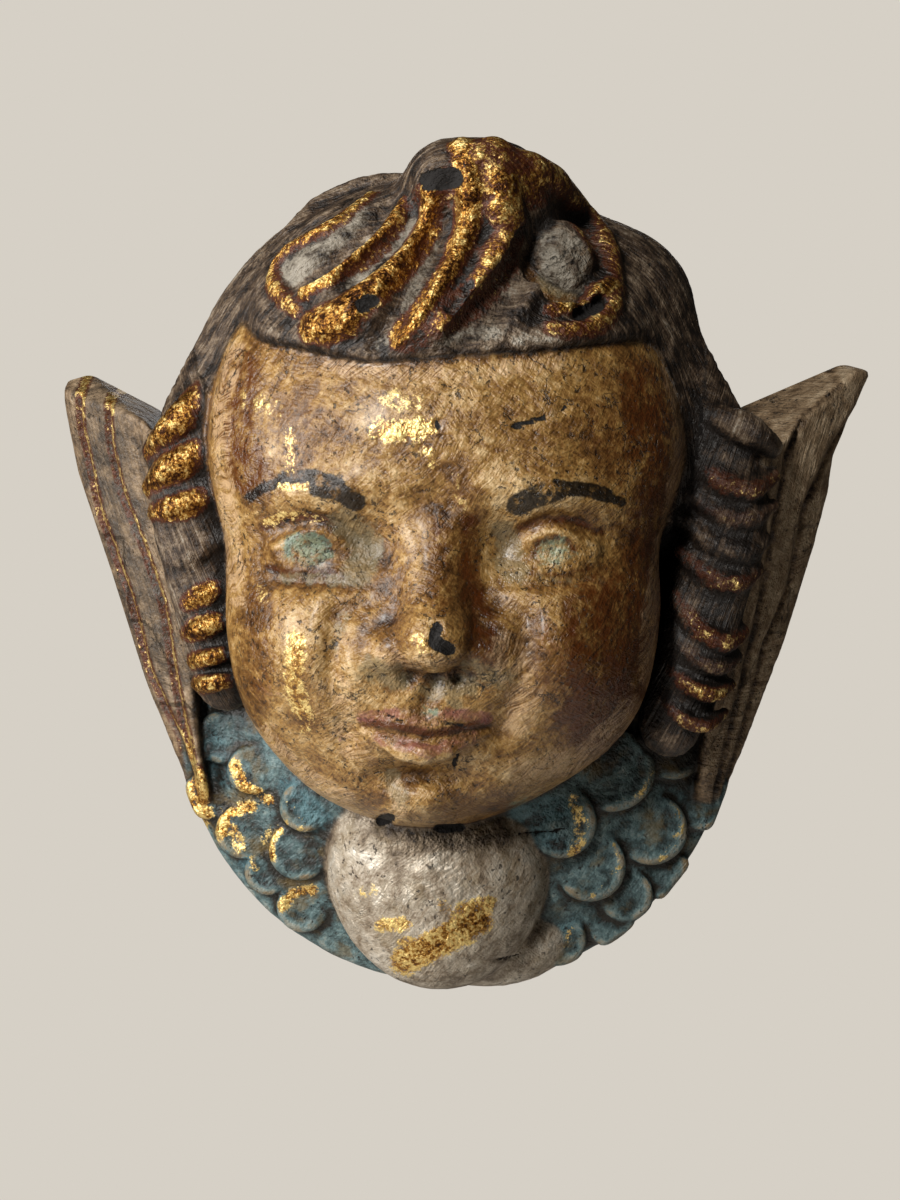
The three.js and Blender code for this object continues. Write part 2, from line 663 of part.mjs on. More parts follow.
// Turns a shape into a closed skin of triangles by walking through a grid of cubes.
function skin(shape, low, high, cell) {
  const [nx, ny, nz] = [0, 1, 2].map((k) => Math.ceil((high[k] - low[k]) / cell) + 1);
  const place = (node) => [node % nx, Math.floor(node / nx) % ny, Math.floor(node / (nx * ny))];
  const at = (node) => place(node).map((step, k) => low[k] + step * cell);
  const values = sampled(shape, low, cell, [nx, ny, nz]);
  const offsets = [0, 1, 2, 3, 4, 5, 6, 7].map((c) => (c & 1) + nx * (((c >> 1) & 1) + ny * (c >> 2)));
  const vertices = new Map();
  const positions = [];
  const vertexOn = (a, b) => {
    const key = Math.min(a, b) * values.length + Math.max(a, b);
    if (!vertices.has(key)) {
      const t = Math.min(Math.max(values[a] / (values[a] - values[b]), 0.03), 0.97);
      const from = at(a);
      const to = at(b);
      vertices.set(key, positions.length / 3);
      positions.push(...from.map((start, k) => start + t * (to[k] - start)));
    }
    return vertices.get(key);
  };
  const faces = [];
  for (let node = 0; node < values.length; node += 1) {
    const [i, j, k] = place(node);
    if (i === nx - 1 || j === ny - 1 || k === nz - 1) {
      continue;
    }
    const insideCount = offsets.filter((offset) => values[node + offset] < 0).length;
    if (insideCount === 0 || insideCount === 8) {
      continue;
    }
    for (const block of BLOCKS) {
      const nodes = block.map((corner) => node + offsets[corner]);
      const polygon = crossing(nodes.map((one) => values[one] < 0));
      const ring = polygon.map(([a, b]) => vertexOn(nodes[a], nodes[b]));
      for (let n = 2; n < ring.length; n += 1) {
        faces.push(ring[0], ring[n - 1], ring[n]);
      }
    }
  }
  const geometry = new THREE.BufferGeometry();
  geometry.setAttribute("position", new THREE.Float32BufferAttribute(positions, 3));
  geometry.setIndex(faces);
  return geometry;
}

// Lays the skin out in millimetres, with the depth turned towards the wall.
function toMillimetres(geometry) {
  const place = geometry.getAttribute("position");
  for (let i = 0; i < place.count; i += 1) {
    place.setXYZ(
      i,
      (place.getX(i) * WIDTH) / GRID.width,
      (-place.getY(i) * PROUD) / GRID.proud,
      (place.getZ(i) * HEIGHT) / GRID.height,
    );
  }
  geometry.setIndex(Array.from(geometry.getIndex().array).reverse());
  return geometry;
}

function toSolid(wasm, geometry) {
  const bare = geometry.clone();
  bare.deleteAttribute("normal");
  bare.deleteAttribute("uv");
  const merged = mergeVertices(bare, 1e-4);
  return new wasm.Manifold(
    new wasm.Mesh({
      numProp: 3,
      vertProperties: new Float32Array(merged.getAttribute("position").array),
      triVerts: new Uint32Array(merged.getIndex().array),
    }),
  );
}

function toGeometry(solid) {
  const mesh = solid.getMesh();
  const geometry = new THREE.BufferGeometry();
  geometry.setAttribute("position", new THREE.Float32BufferAttribute(mesh.vertProperties, 3));
  geometry.setIndex(Array.from(mesh.triVerts));
  return geometry;
}

const wasm = await Module();
wasm.setup();

const low = [-0.65 * GRID.width, -0.2 * GRID.proud, -0.65 * GRID.height];
const high = [0.7 * GRID.width, 1.35 * GRID.proud, 0.7 * GRID.height];
const fine = skin(carving(), low, high, CELL);
const cornersToKeep = Math.round(FRONT_TRIANGLES / 2) + 2;
const excess = fine.getAttribute("position").count - cornersToKeep;
const coarse = await new SimplifyModifier().modify(fine, excess);
const inFront = new THREE.BoxGeometry(4 * WIDTH, 4 * PROUD, 4 * HEIGHT).translate(0, -2 * PROUD, 0);
const solid = toSolid(wasm, toMillimetres(coarse)).intersect(toSolid(wasm, inFront));

const PAINTED = { name: "painted_ceramic", color: 0xa8794b, roughness: 0.45, metalness: 0 };
const cherub = new THREE.Mesh(toGeometry(solid), new THREE.MeshStandardMaterial(PAINTED));
cherub.name = "cherub_head";

const group = new THREE.Group();
group.name = "cherub_head_wall_ornament";
group.add(cherub);

export default group;
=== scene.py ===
"""Painted ceramic head of a winged child for a wall, finished in its worn paint and gilding.

The carving is worked out in layout units, which are millimetres: x to the right, d proud
of the wall, z up. The finished mesh is in metres, with the wall at y = 0.
"""

import logging
from collections.abc import Callable
from dataclasses import dataclass, field
from enum import Enum

import bpy
import numpy as np
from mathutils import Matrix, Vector


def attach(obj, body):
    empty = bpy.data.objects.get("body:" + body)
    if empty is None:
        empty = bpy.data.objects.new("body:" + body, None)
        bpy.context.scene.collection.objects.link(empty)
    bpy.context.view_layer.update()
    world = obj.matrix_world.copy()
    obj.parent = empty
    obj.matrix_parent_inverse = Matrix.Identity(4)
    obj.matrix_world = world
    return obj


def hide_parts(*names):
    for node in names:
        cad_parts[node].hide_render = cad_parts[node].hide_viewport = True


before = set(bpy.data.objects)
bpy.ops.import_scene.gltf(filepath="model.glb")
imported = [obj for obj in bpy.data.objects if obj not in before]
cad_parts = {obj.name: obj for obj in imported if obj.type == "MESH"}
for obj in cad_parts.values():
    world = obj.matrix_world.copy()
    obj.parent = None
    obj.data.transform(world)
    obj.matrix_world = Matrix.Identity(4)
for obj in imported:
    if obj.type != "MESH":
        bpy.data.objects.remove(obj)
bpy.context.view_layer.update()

LOG = logging.getLogger("angel_head")

# Metres in a layout unit.
MILLIMETRE = 0.001
# Stands for the distance of points that are well clear of a shape.
FAR = 60.0
Points = np.ndarray
Form = Callable[[Points], Points]


def join(a: Points, b: Points, soft: float) -> Points:
    """Joins two shapes with a soft fillet.

    Args:
        a: Distances to the first shape.
        b: Distances to the second shape.
        soft: Width of the fillet.

    Returns:
        Distances to both together.
    """
    h = np.clip(0.5 + 0.5 * (b - a) / soft, 0, 1)
    return b + (a - b) * h - soft * h * (1 - h)


def keep(a: Points, b: Points, soft: float) -> Points:
    """Keeps the part common to two shapes; the arguments are those of join."""
    return -join(-a, -b, soft)


def ramp(low: float, high: float, value: Points) -> Points:
    """Runs smoothly from 0 at low to 1 at high."""
    t = np.clip((value - low) / (high - low), 0, 1)
    return t * t * (3 - 2 * t)


def glide(a: Points, b: Points, c: Points, e: Points, f: Points) -> Points:
    """Runs smoothly from b to c as f grows from 0 to 1, with a before them and e after them."""
    return 0.5 * (2 * b + (c - a) * f + (2 * a - 5 * b + 4 * c - e) * f**2 + (3 * b - a - 3 * c + e) * f**3)


def oval(u: Points, v: Points, at: tuple, size: tuple, scale: float) -> Points:
    """Rough distances to an oval outline, scaled so that they are true near its edge."""
    return (np.hypot((u - at[0]) / size[0], (v - at[1]) / size[1]) - 1) * scale


def hump(u: Points, v: Points, at: tuple, size: tuple, turn: float = 0.0) -> Points:
    """A rounded hump of height 1 over a point, turned by an angle in degrees.

    Args:
        u: First coordinate of the points.
        v: Second coordinate of the points.
        at: Place of its middle.
        size: Its spread along and across.
        turn: Angle in degrees.

    Returns:
        The height at each point, from 0 to 1.
    """
    angle = np.radians(turn)
    du, dv = u - at[0], v - at[1]
    a = (du * np.cos(angle) + dv * np.sin(angle)) / size[0]
    b = (dv * np.cos(angle) - du * np.sin(angle)) / size[1]
    return np.exp(-(a * a + b * b))


def egg(p: Points, centre: tuple, radii: tuple) -> Points:
    """Distances to an egg shape.

    Args:
        p: Points in layout units.
        centre: Its middle.
        radii: Its half sizes.

    Returns:
        The distances, below 0 inside.
    """
    r = np.array(radii, np.float32)
    u = (p - np.array(centre, np.float32)) / r
    reach = np.sqrt((u * u).sum(1))
    slope = np.sqrt(((u / r) ** 2).sum(1))
    return reach * (reach - 1) / np.maximum(slope, 1e-4)


def path(points: list, steps: int = 10) -> Points:
    """A smooth path through a few points, evenly spaced in its parameter.

    Args:
        points: Places that the path passes.
        steps: Parts between two places.

    Returns:
        The places along the path.
    """
    q = np.array(points, float)
    q = np.vstack([2 * q[0] - q[1], q, 2 * q[-1] - q[-2]])
    spans = len(q) - 3
    place = np.linspace(0, spans, steps + 1)
    i = np.minimum(place.astype(int), spans - 1)
    f = (place - i)[:, None]
    return glide(q[i], q[i + 1], q[i + 2], q[i + 3], f)


@dataclass
class Rod:
    """A rod along a path, its thickness running through a list of radii."""

    points: Points
    radii: tuple

    def __call__(self, p: Points) -> Points:
        """Distances to the rod.

        Args:
            p: Points in layout units.

        Returns:
            The distances, below 0 inside.
        """
        count = len(self.points)
        r = np.interp(np.linspace(0, 1, count), np.linspace(0, 1, len(self.radii)), self.radii)
        pad = max(self.radii) + 9
        low, high = self.points.min(0) - pad, self.points.max(0) + pad
        near = np.flatnonzero(((p > low) & (p < high)).all(1))
        out = np.full(len(p), FAR, np.float32)
        if not len(near):
            return out
        q = p[near]
        best = np.full(len(near), FAR, np.float32)
        for i in range(count - 1):
            start = self.points[i].astype(np.float32)
            run = (self.points[i + 1] - self.points[i]).astype(np.float32)
            t = np.clip(((q - start) @ run) / max(float(run @ run), 1e-6), 0, 1)
            gap = q - start - t[:, None] * run
            best = np.minimum(best, np.sqrt((gap * gap).sum(1)) - (r[i] + t * (r[i + 1] - r[i])))
        out[near] = best
        return out


def on_front(shape: Form, places: list, lift: float) -> Points:
    """Sets places on the front of a shape.

    Args:
        shape: Gives distances for points.
        places: Pairs of sideways and upward places.
        lift: How far the points stand off the shape.

    Returns:
        The points in space.
    """
    q = np.array([(x, 2 * FAR, z) for x, z in places], np.float32)
    for _ in range(60):
        q[:, 1] -= 0.7 * shape(q)
    q[:, 1] = np.maximum(q[:, 1], 0) + lift
    return q.astype(float)


@dataclass
class Head:
    """The plain rounded head: an outline in polar form with a domed front."""

    x: float = -1.0
    z: float = 14.0
    base: float = 33.0
    rise: float = 41.0
    power: float = 2.25
    back_taper: float = 0.7
    outline: tuple = (50, 60, 67.5, 74, 78, 75, 69, 60, 51.5, 54.5, 62, 66.5, 66.5, 63, 60.5, 53.5)

    def wide(self, angle: Points) -> Points:
        """Half width in a direction, read smoothly between the outline values.

        Args:
            angle: Directions about the middle of the face.

        Returns:
            The half widths.
        """
        r = np.array(self.outline, np.float32)
        n = len(r)
        t = (angle / (2 * np.pi) * n) % n
        i = np.floor(t).astype(int) % n
        f = (t - np.floor(t)).astype(np.float32)
        return glide(r[i - 1], r[i], r[(i + 1) % n], r[(i + 2) % n], f)

    def __call__(self, p: Points) -> Points:
        """Distances to the plain head.

        Args:
            p: Points in layout units.

        Returns:
            The distances, below 0 inside.
        """
        px, pz = p[:, 0] - self.x, p[:, 2] - self.z
        wide = self.wide(np.arctan2(pz, px))
        across = np.sqrt(px * px + pz * pz) / wide
        deep = np.maximum(p[:, 1] - self.base, (self.base - p[:, 1]) * self.back_taper) / self.rise
        q = self.power
        total = across**q + deep**q
        steep = np.sqrt((across ** (q - 1) / wide) ** 2 + (deep ** (q - 1) / self.rise) ** 2)
        return (total ** (1 / q) - 1) / np.maximum(total ** (1 / q - 1) * steep, 0.6 / 80)

    def depth(self, x: float, z: float) -> float:
        """How far the plain head stands proud at a place.

        Args:
            x: Place from left to right.
            z: Height.

        Returns:
            How far it stands proud of the wall.
        """
        px, pz = x - self.x, z - self.z
        across = np.hypot(px, pz) / float(self.wide(np.array([np.arctan2(pz, px)]))[0])
        return self.base + self.rise * max(1 - across**self.power, 0) ** (1 / self.power)


@dataclass
class Face:
    """The child's face carved on the head."""

    head: Head
    eye_line: float = 11.0
    eye_apart: float = 26.0
    middle_at: float = -4.0
    lean: float = 0.06
    nose_height: float = -9.0
    nose_shift: float = 1.2
    mouth_height: float = -29.5
    lips_lift: float = 2.6
    # Rises and hollows: height, place from between the eyes, size, turn.
    middle_forms: tuple = (
        (2.4, (0, 27), (34, 15)),
        (-1.6, (0, 10), (7, 6)),
        (3.2, (0, -36), (13, 11)),
        (-3.4, (0, -49.6), (11, 3)),
        (3.6, (0, -57.5), (9, 5.5)),
    )
    side_forms: tuple = (
        (2.0, (25, 12), (15, 4.5), -6),
        (-4.6, (26, 0), (14, 8.5), 0),
        (-4.4, (13.2, 0.5), (6, 9), 0),
        (-1.3, (25, -7.5), (12, 1.7), 4),
        (5.0, (29, -23), (16, 15), 0),
        (-1.7, (15.5, -12.5), (7, 2.4), -20),
        (-2.3, (20.5, -20.5), (2.8, 7.5), 0),
        (-1.2, (18.8, -32), (2.8, 6), -15),
        (1.5, (13.5, -25), (6, 6.5), 0),
        (-1.9, (16.5, -40.0), (3.6, 4.5), 0),
        (1.2, (17, -52), (8, 6), 0),
    )

    def middle(self, z: Points) -> Points:
        """The middle line of the face at a height."""
        return self.middle_at + self.lean * z

    def lift(self, x: Points, z: Points) -> Points:
        """The soft shapes of the face, as a lift of the head's surface.

        Args:
            x: Places from left to right.
            z: Heights.

        Returns:
            The lift at each place.
        """
        u, v = x - self.middle(z), z - self.eye_line
        total = sum(height * hump(u, v, at, size) for height, at, size in self.middle_forms)
        for side in (-1, 1):
            for height, at, size, turn in self.side_forms:
                total = total + height * hump(u, v, (side * at[0], at[1]), size, side * turn)
        return total

    def eye_centre(self, side: int) -> tuple:
        """The place of an eye on the plain head."""
        x = self.middle(self.eye_line) + side * self.eye_apart
        return x, self.head.depth(x, self.eye_line), self.eye_line

    def carve_eye(self, f: Points, p: Points, side: int) -> Points:
        """Adds the ball and both lids, and cuts the crease over the upper lid.

        Args:
            f: Distances to the face so far.
            p: Points in layout units.
            side: -1 for the left eye and 1 for the right.

        Returns:
            The distances with the eye.
        """
        x, d, z = self.eye_centre(side)

        def arc(points: list) -> Points:
            """A path through places measured from the eye."""
            return path([(x + side * a, d + b, z + c) for a, b, c in points])

        f = join(f, egg(p, (x, d - 13, z - 0.4), (12, 10.6, 8.6)), 2.4)
        upper = [(-9, -4.4, -1), (-4.5, -2.9, 2.9), (1.5, -2.8, 3.8), (8.5, -5.8, 0.6)]
        lower = [(-9, -4.8, -1.2), (-2, -4.2, -4.6), (5.5, -5.4, -3.8), (9, -6.6, 0)]
        crease = [(-9, -2.4, 2), (-3.5, -0.8, 6), (3, -1.2, 6.6), (10, -5.4, 3.2)]
        f = join(f, Rod(arc(upper), (0.7, 1.5, 1.5, 0.7))(p), 1.8)
        f = join(f, Rod(arc(lower), (0.5, 0.9, 0.5))(p), 2.6)
        return keep(f, -Rod(arc(crease), (0.3, 0.7, 0.3))(p), 2.4)

    def nose_middle(self) -> float:
        """Sideways place of the middle of the nose."""
        return self.middle(self.nose_height) + self.nose_shift

    def carve_nose(self, f: Points, p: Points) -> Points:
        """Adds the bridge, the tip and the sides of the nose, and cuts the nostrils.

        Args:
            f: Distances to the face so far.
            p: Points in layout units.

        Returns:
            The distances with the nose.
        """
        x = self.nose_middle()
        bridge = path([(self.middle(12), 67, 16), (x - 0.8, 71.6, 5), (x, 75.2, -4.5)])
        f = join(f, Rod(bridge, (3.4, 4.5, 5.8))(p), 6)
        f = join(f, egg(p, (x, 75.5, -8.6), (8.2, 9.2, 6.6)), 4)
        for side in (-1, 1):
            f = join(f, egg(p, (x + side * 10, 71, -10.8), (5, 6.6, 4.8)), 2.4)
            f = keep(f, -egg(p, (x + side * 5, 74.5, -16.6), (1.6, 3.4, 1.2)), 2.2)
        return f

    def carve_mouth(self, f: Points, p: Points) -> Points:
        """Adds the lips, and cuts the line between them and the groove under the nose.

        Args:
            f: Distances to the face so far.
            p: Points in layout units.

        Returns:
            The distances with the mouth.
        """
        z = self.mouth_height
        x = self.middle(z)
        d = self.head.depth(x, z) + self.lips_lift

        def arc(side: int, points: list) -> Points:
            """A path through places measured from the mouth, on one side."""
            return path([(x + side * a, d + b, z + c) for a, b, c in points])

        upper = [(1, 0.2, 2.2), (5.2, 0.2, 2.8), (12.6, -3.6, 1.7)]
        lower = [(0.8, 0.2, -3.2), (4.8, -0.3, -3), (11, -3.6, 0.4)]
        for side in (-1, 1):
            f = join(f, Rod(arc(side, upper), (1.9, 2.1, 0.7))(p), 2.8)
            f = join(f, Rod(arc(side, lower), (2.6, 2.3, 0.7))(p), 2.8)
        line = [(-14.4, -2.6, 1.7), (-7, 1.8, 0), (0, 2.7, -0.7), (7, 1.8, 0), (14.4, -2.6, 1.7)]
        f = keep(f, -Rod(arc(1, line), (0.6, 1, 1, 0.6))(p), 1.2)
        groove = path([(self.nose_middle(), d + 3.8, -17.5), (x, d + 4.6, z + 6)])
        return keep(f, -Rod(groove, (1.4, 2.2))(p), 2.4)

    def __call__(self, p: Points) -> Points:
        """Distances to the head with its face.

        Args:
            p: Points in layout units.

        Returns:
            The distances, below 0 inside.
        """
        out = self.head(p)
        near = np.flatnonzero((np.abs(out) < 20) & (p[:, 1] > 20))
        q = p[near]
        f = out[near] - self.lift(q[:, 0], q[:, 2]) * ramp(30, 52, q[:, 1])
        for side in (-1, 1):
            f = self.carve_eye(f, q, side)
        out[near] = self.carve_mouth(self.carve_nose(f, q), q)
        return out


@dataclass
class Hair:
    """Cap, fringe and crest with its locks, hollows and round curl."""

    head: Head
    cap: tuple = ((0, 18, 45), (63, 45, 57))
    swell: tuple = ((36, 16, 69), (23, 28, 21.5))
    crown: tuple = ((7, 46, 91), (17, 22, 13.6))
    tuft: tuple = ((-0.7, 54, 93.2), (9, 15, 9))
    curl: tuple = (24.4, 75.2)
    fringe: tuple = ((0, 66), (46, 42), 38)
    fringe_lift: float = 3.0
    crest: tuple = ((-6.5, 77), (30, 21), 20)
    crest_lift: float = 6.0
    # Ridges and hollows: places, thickness along them, lift of their middle.
    ridges: tuple = (
        (
            ((-17.8, 91), (-23.3, 85), (-28.9, 81.2), (-35.6, 78), (-39, 73.5), (-38, 68.5), (-33, 63.5)),
            (1.4, 1.9, 2.1, 2.2, 2.2, 2.1, 2),
            -0.6,
        ),
        (
            ((-10, 87.5), (-13.3, 81.1), (-17.8, 76.2), (-24.4, 71.8), (-31.1, 67.3)),
            (1.6, 2.3, 2.6, 2.7, 2.2),
            -0.7,
        ),
        (
            (
                *((-4, 90), (-4.4, 83.3), (-7.8, 76.7), (-13.3, 70)),
                *((-17.8, 65.6), (-23.3, 60.4), (-28.5, 59.5)),
            ),
            (2, 2.4, 2.6, 3.1, 3.9, 4.5, 4),
            -1.6,
        ),
        (
            ((2.8, 98.2), (4.2, 90), (4.4, 83.3), (1.6, 75.6), (-1.8, 68.9), (-6.7, 62.2), (-10.9, 56.2)),
            (3, 3.2, 3.3, 3.2, 3.1, 2.7, 2),
            -0.6,
        ),
        (
            ((9.4, 97), (10.6, 87.8), (11.8, 80), (10, 73.3), (6.6, 66.7), (0, 60.8), (-8.4, 55.2)),
            (4.6, 5, 5, 4.8, 4.2, 3.2, 2),
            -1.6,
        ),
        (((6.5, 95.8), (20, 94.4), (29, 89.8), (35, 81), (36.4, 69)), (4.5, 4.2, 4.2, 3.6, 2.6), -1.4),
        (((35.4, 69.4), (31.2, 67.3), (26.5, 64.7), (21.5, 63)), (2.6, 2.2, 1.4), -0.6),
        (((36.3, 66), (32.8, 61.2), (27.2, 58.7), (21.4, 59.1)), (2.4, 2.2, 1.4), -0.6),
        (((-11.5, 98.2), (-20.7, 97), (-29.9, 93.1), (-37.9, 86.2)), (2.4, 3.2, 3, 1.6), -1.5),
    )
    hollows: tuple = (
        (
            ((-14.4, 89), (-18.9, 82.6), (-24.4, 77.3), (-30, 73.3), (-34.9, 71)),
            (2.2, 3.7, 4.4, 4.2, 2.6),
            1.4,
        ),
        (
            ((-8.4, 84.4), (-11.1, 80.4), (-15.6, 75.4), (-20.9, 70.6), (-26, 66.6)),
            (1.2, 2.3, 2.8, 2.4, 1.2),
            0.7,
        ),
        (
            ((-0.7, 89.5), (-1.8, 82.2), (-4.4, 75.6), (-7.8, 68.9), (-12.2, 61.1), (-15.8, 55.2)),
            (1.8, 3.3, 4.2, 4.2, 3.8, 2.4),
            1.4,
        ),
        (((4.4, 67.8), (0, 62.6)), (0.8, 1.4), 1.2),
        (((16.6, 80), (14.9, 71.5), (9.8, 63.5), (2.6, 56.7)), (2.8, 4.6, 5.4, 3.8), 1.1),
        (((28, 62.2), (33, 66.3)), (1.1, 1.3), 0.4),
        (((-20, 94), (-26.4, 88.6), (-33.5, 84.8), (-41, 80.6)), (0.8, 1.5, 1.5, 0.8), 0.2),
    )
    made: dict = field(default_factory=dict)

    def hairline(self, x: Points) -> Points:
        """Height of the hair's lower edge over the forehead."""
        return 53 + 5 * ((x + 2) / 42) ** 2 - 2 * np.exp(-(((x + 18) / 14) ** 2))

    def body(self, p: Points) -> Points:
        """Distances to the plain body of the hair.

        Args:
            p: Points in layout units.

        Returns:
            The distances, below 0 inside.
        """
        x, z = p[:, 0], p[:, 2]
        plain = self.head(p)
        fringe = keep(plain - self.fringe_lift, (self.hairline(x) - z) * 0.95, 3)
        fringe = keep(fringe, oval(x, z, *self.fringe), 5)
        crest = keep(plain - self.crest_lift, oval(x, z, *self.crest), 4)
        crest = keep(crest, 56.5 - z - 0.22 * (x + 14) ** 2 / 14, 2.5)
        f = join(join(egg(p, *self.cap), egg(p, *self.swell), 4), fringe, 5)
        f = join(f, crest, 3)
        f = join(f, egg(p, *self.crown), 7)
        return join(f, egg(p, *self.tuft), 4)

    def __call__(self, p: Points) -> Points:
        """Distances to the hair.

        Args:
            p: Points in layout units.

        Returns:
            The distances, below 0 inside.
        """
        if not self.made:
            for name in ("ridges", "hollows"):
                self.made[name] = []
                for places, radii, lift in getattr(self, name):
                    self.made[name].append(Rod(path(on_front(self.body, places, lift)), radii))
            self.made["curl"] = on_front(self.body, [self.curl], 0)[0]
        f = self.body(p)
        for one in self.made["ridges"]:
            f = join(f, one(p), 1.6)
        for one in self.made["hollows"]:
            f = keep(f, -one(p), 1.2)
        x, d, z = self.made["curl"]
        f = keep(f, -egg(p, (x, d + 2.5, z), (9.2, 6.6, 11.2)), 1.5)
        return join(f, egg(p, (x, d - 4.5, z), (7.7, 5.4, 9.8)), 1)


@dataclass
class Curls:
    """A column of curls beside the face.

    Each lock has its height at the outer edge, at the inner edge, its sag and its thickness.
    """

    side: int
    core: tuple
    outer: tuple
    inner: tuple
    depths: tuple
    locks: tuple
    root: tuple
    made: list = field(default_factory=list)

    def __call__(self, p: Points) -> Points:
        """Distances to the column.

        Args:
            p: Points in layout units.

        Returns:
            The distances, below 0 inside.
        """
        if not self.made:
            self.made.append(Rod(path(self.core, 12), (7, 9.6, 9.8, 9, 7)))
            for outer_z, inner_z, sag, thick in self.locks:
                start = np.interp(outer_z, *zip(*self.outer))
                end = np.interp(inner_z, *zip(*self.inner))
                t = np.linspace(0, 1, len(self.depths))
                z = outer_z + (inner_z - outer_z) * t - sag * 4 * t * (1 - t)
                points = list(zip(start + (end - start) * t, self.depths, z))
                radii = tuple(thick * share for share in (0.55, 0.85, 0.85, 0.55))
                self.made.append(Rod(path(points, 8), radii))
        q = p.copy()
        q[:, 1] = np.maximum(q[:, 1], 28)
        f = join(self.made[0](q), egg(p, *self.root), 2)
        for one in self.made[1:]:
            f = join(f, one(p), 1.8)
        return f


LEFT_CURLS = dict(
    side=-1,
    root=((-51, 6, 22), (7, 14, 18)),
    core=((-50, 24, 60), (-58, 28, 44), (-61, 29, 24), (-57, 29, 2), (-53, 29, -19)),
    outer=((-20, -60), (0, -63), (12, -67.5), (24, -70.5), (40, -69.5)),
    inner=((-19, -50), (48, -57)),
    depths=(28, 36, 38, 36),
    locks=(
        (35, 48.4, 1, 4.4),
        (26.7, 35.8, 0, 4.6),
        (20.6, 25.1, 1, 3.4),
        (10.4, 14, 2, 2.2),
        (-1.7, 3.3, 0, 2.6),
        (-8, -4.2, 0, 2.8),
        (-14.7, -12.1, 0, 2.4),
        (-19.9, -18.6, 0, 2.4),
    ),
)
RIGHT_CURLS = dict(
    side=1,
    root=((53, 6, 20), (7, 14, 16)),
    core=((51, 24, 60), (61, 28, 41), (65, 29, 20), (61, 29, 2), (56, 29, -18), (52, 29, -30)),
    outer=((-26, 64.5), (-8, 69), (8, 72.5), (20, 76), (36, 76)),
    inner=((-23, 49.5), (44, 58.5)),
    depths=(30, 37.5, 37.5, 34),
    locks=(
        (36.3, 43.9, 0, 4.4),
        (29.2, 33.2, 5.6, 3.4),
        (22.4, 25.2, 4.8, 2.8),
        (14.1, 18.7, 5, 3),
        (7.1, 11.2, 5, 3),
        (-7.5, 0.9, 6, 3),
        (-13.2, -7, 5, 2.6),
        (-19.8, -15, 4, 2.6),
        (-26.4, -23.4, 4, 2.2),
    ),
)


def plane(p: Points, at: tuple, facing: tuple) -> Points:
    """Distances from a plane that faces a direction.

    Args:
        p: Points in layout units.
        at: A place on the plane.
        facing: Direction that it faces.

    Returns:
        The distances, below 0 inside.
    """
    n = np.array(facing, float)
    n = (n / np.linalg.norm(n)).astype(np.float32)
    return (p - np.array(at, np.float32)) @ n


@dataclass
class Wing:
    """A short wing: outer edge, feather edges and inner edge by height and sideways place."""

    side: int
    outer: tuple
    inner: tuple
    feathers: tuple
    front: tuple
    ends: tuple
    foot: tuple
    feather_step: float = 1.5

    def within(self, p: Points, edge: tuple) -> Points:
        """How far points lie inward of an edge."""
        return self.side * (np.interp(p[:, 2], *zip(*edge)).astype(np.float32) - p[:, 0]) * 0.94

    def __call__(self, p: Points) -> Points:
        """Distances to the wing.

        Args:
            p: Points in layout units.

        Returns:
            The distances, below 0 inside.
        """
        out = np.full(len(p), FAR, np.float32)
        near = np.flatnonzero(self.side * p[:, 0] > 48)
        if not len(near):
            return out
        q = p[near]
        step = 0
        for edge in self.feathers:
            t = self.within(q, edge)
            step = step + self.feather_step * ramp(-0.5, 0.5, t) - np.exp(-(((t + 0.4) / 0.9) ** 2))
            step = step - 0.1 * np.clip(t, 0, 14)
        f = keep(plane(q, *self.front) - step + 0.8, -self.within(q, self.outer), 2)
        for end in self.ends:
            f = keep(f, plane(q, *end), 1.2)
        f = keep(f, plane(q, *self.foot), 3)
        f = keep(f, self.within(q, self.inner) - 1 - 3 * ramp(-40, 0, q[:, 2]), 2)
        out[near] = keep(f, q[:, 1] - 38, 4)
        return out


LEFT_WING = dict(
    side=-1,
    outer=((-59.1, -60.1), (-48.7, -64), (-19.7, -76.3), (7.4, -84.9), (31.9, -93.4), (49, -95.9)),
    inner=((-57.7, -57.7), (-23.7, -63.4), (18.8, -70.7), (47.1, -75.4)),
    feathers=(
        ((-46.4, -62), (-34.5, -65.4), (-17, -73.9), (2.4, -78.7), (21.8, -86), (42.4, -90.1)),
        ((-38.5, -62.5), (-21.5, -65.8), (0, -68.8), (12.6, -73.3), (26.7, -79), (38.1, -81.4)),
    ),
    front=((-60.8, 8, -55.4), (-0.74, 0.62, -0.23)),
    ends=(((-96, 10, 48.8), (-0.244, 0.489, 0.838)), ((-88, 0, 55.5), (0.454, 0.154, 0.878))),
    foot=((-62, 10, -50), (0, 0.5, -0.86)),
)
RIGHT_WING = dict(
    side=1,
    outer=(
        *((-60.3, 62), (-51.7, 66.5), (-28.3, 76.3), (-9.8, 83.7)),
        *((13.5, 90.9), (27, 94.2), (35.6, 95.1), (56.2, 104.5)),
    ),
    inner=((-59.4, 59.6), (-26, 62.7), (9.4, 70.9), (46.9, 75.1)),
    feathers=(
        (
            *((-48.8, 66.4), (-21.8, 73.9), (-10.6, 76.5), (3.6, 82.8)),
            *((24.1, 86.4), (38.1, 93.4), (48.3, 101.1), (49.5, 109.8)),
        ),
        ((-45.9, 64.2), (-28.6, 68), (0, 74.3), (18.9, 77.1), (35.5, 79.7), (44.5, 84.7), (52, 94.6)),
    ),
    front=((65, 9, -54.6), (0.74, 0.62, -0.23)),
    ends=(((101.5, 12, 54.8), (-0.36, 0.4, 0.84)), ((100, 12, 56), (0.25, 0.2, 0.947))),
    foot=((66, 10, -50), (0, 0.5, -0.86)),
)


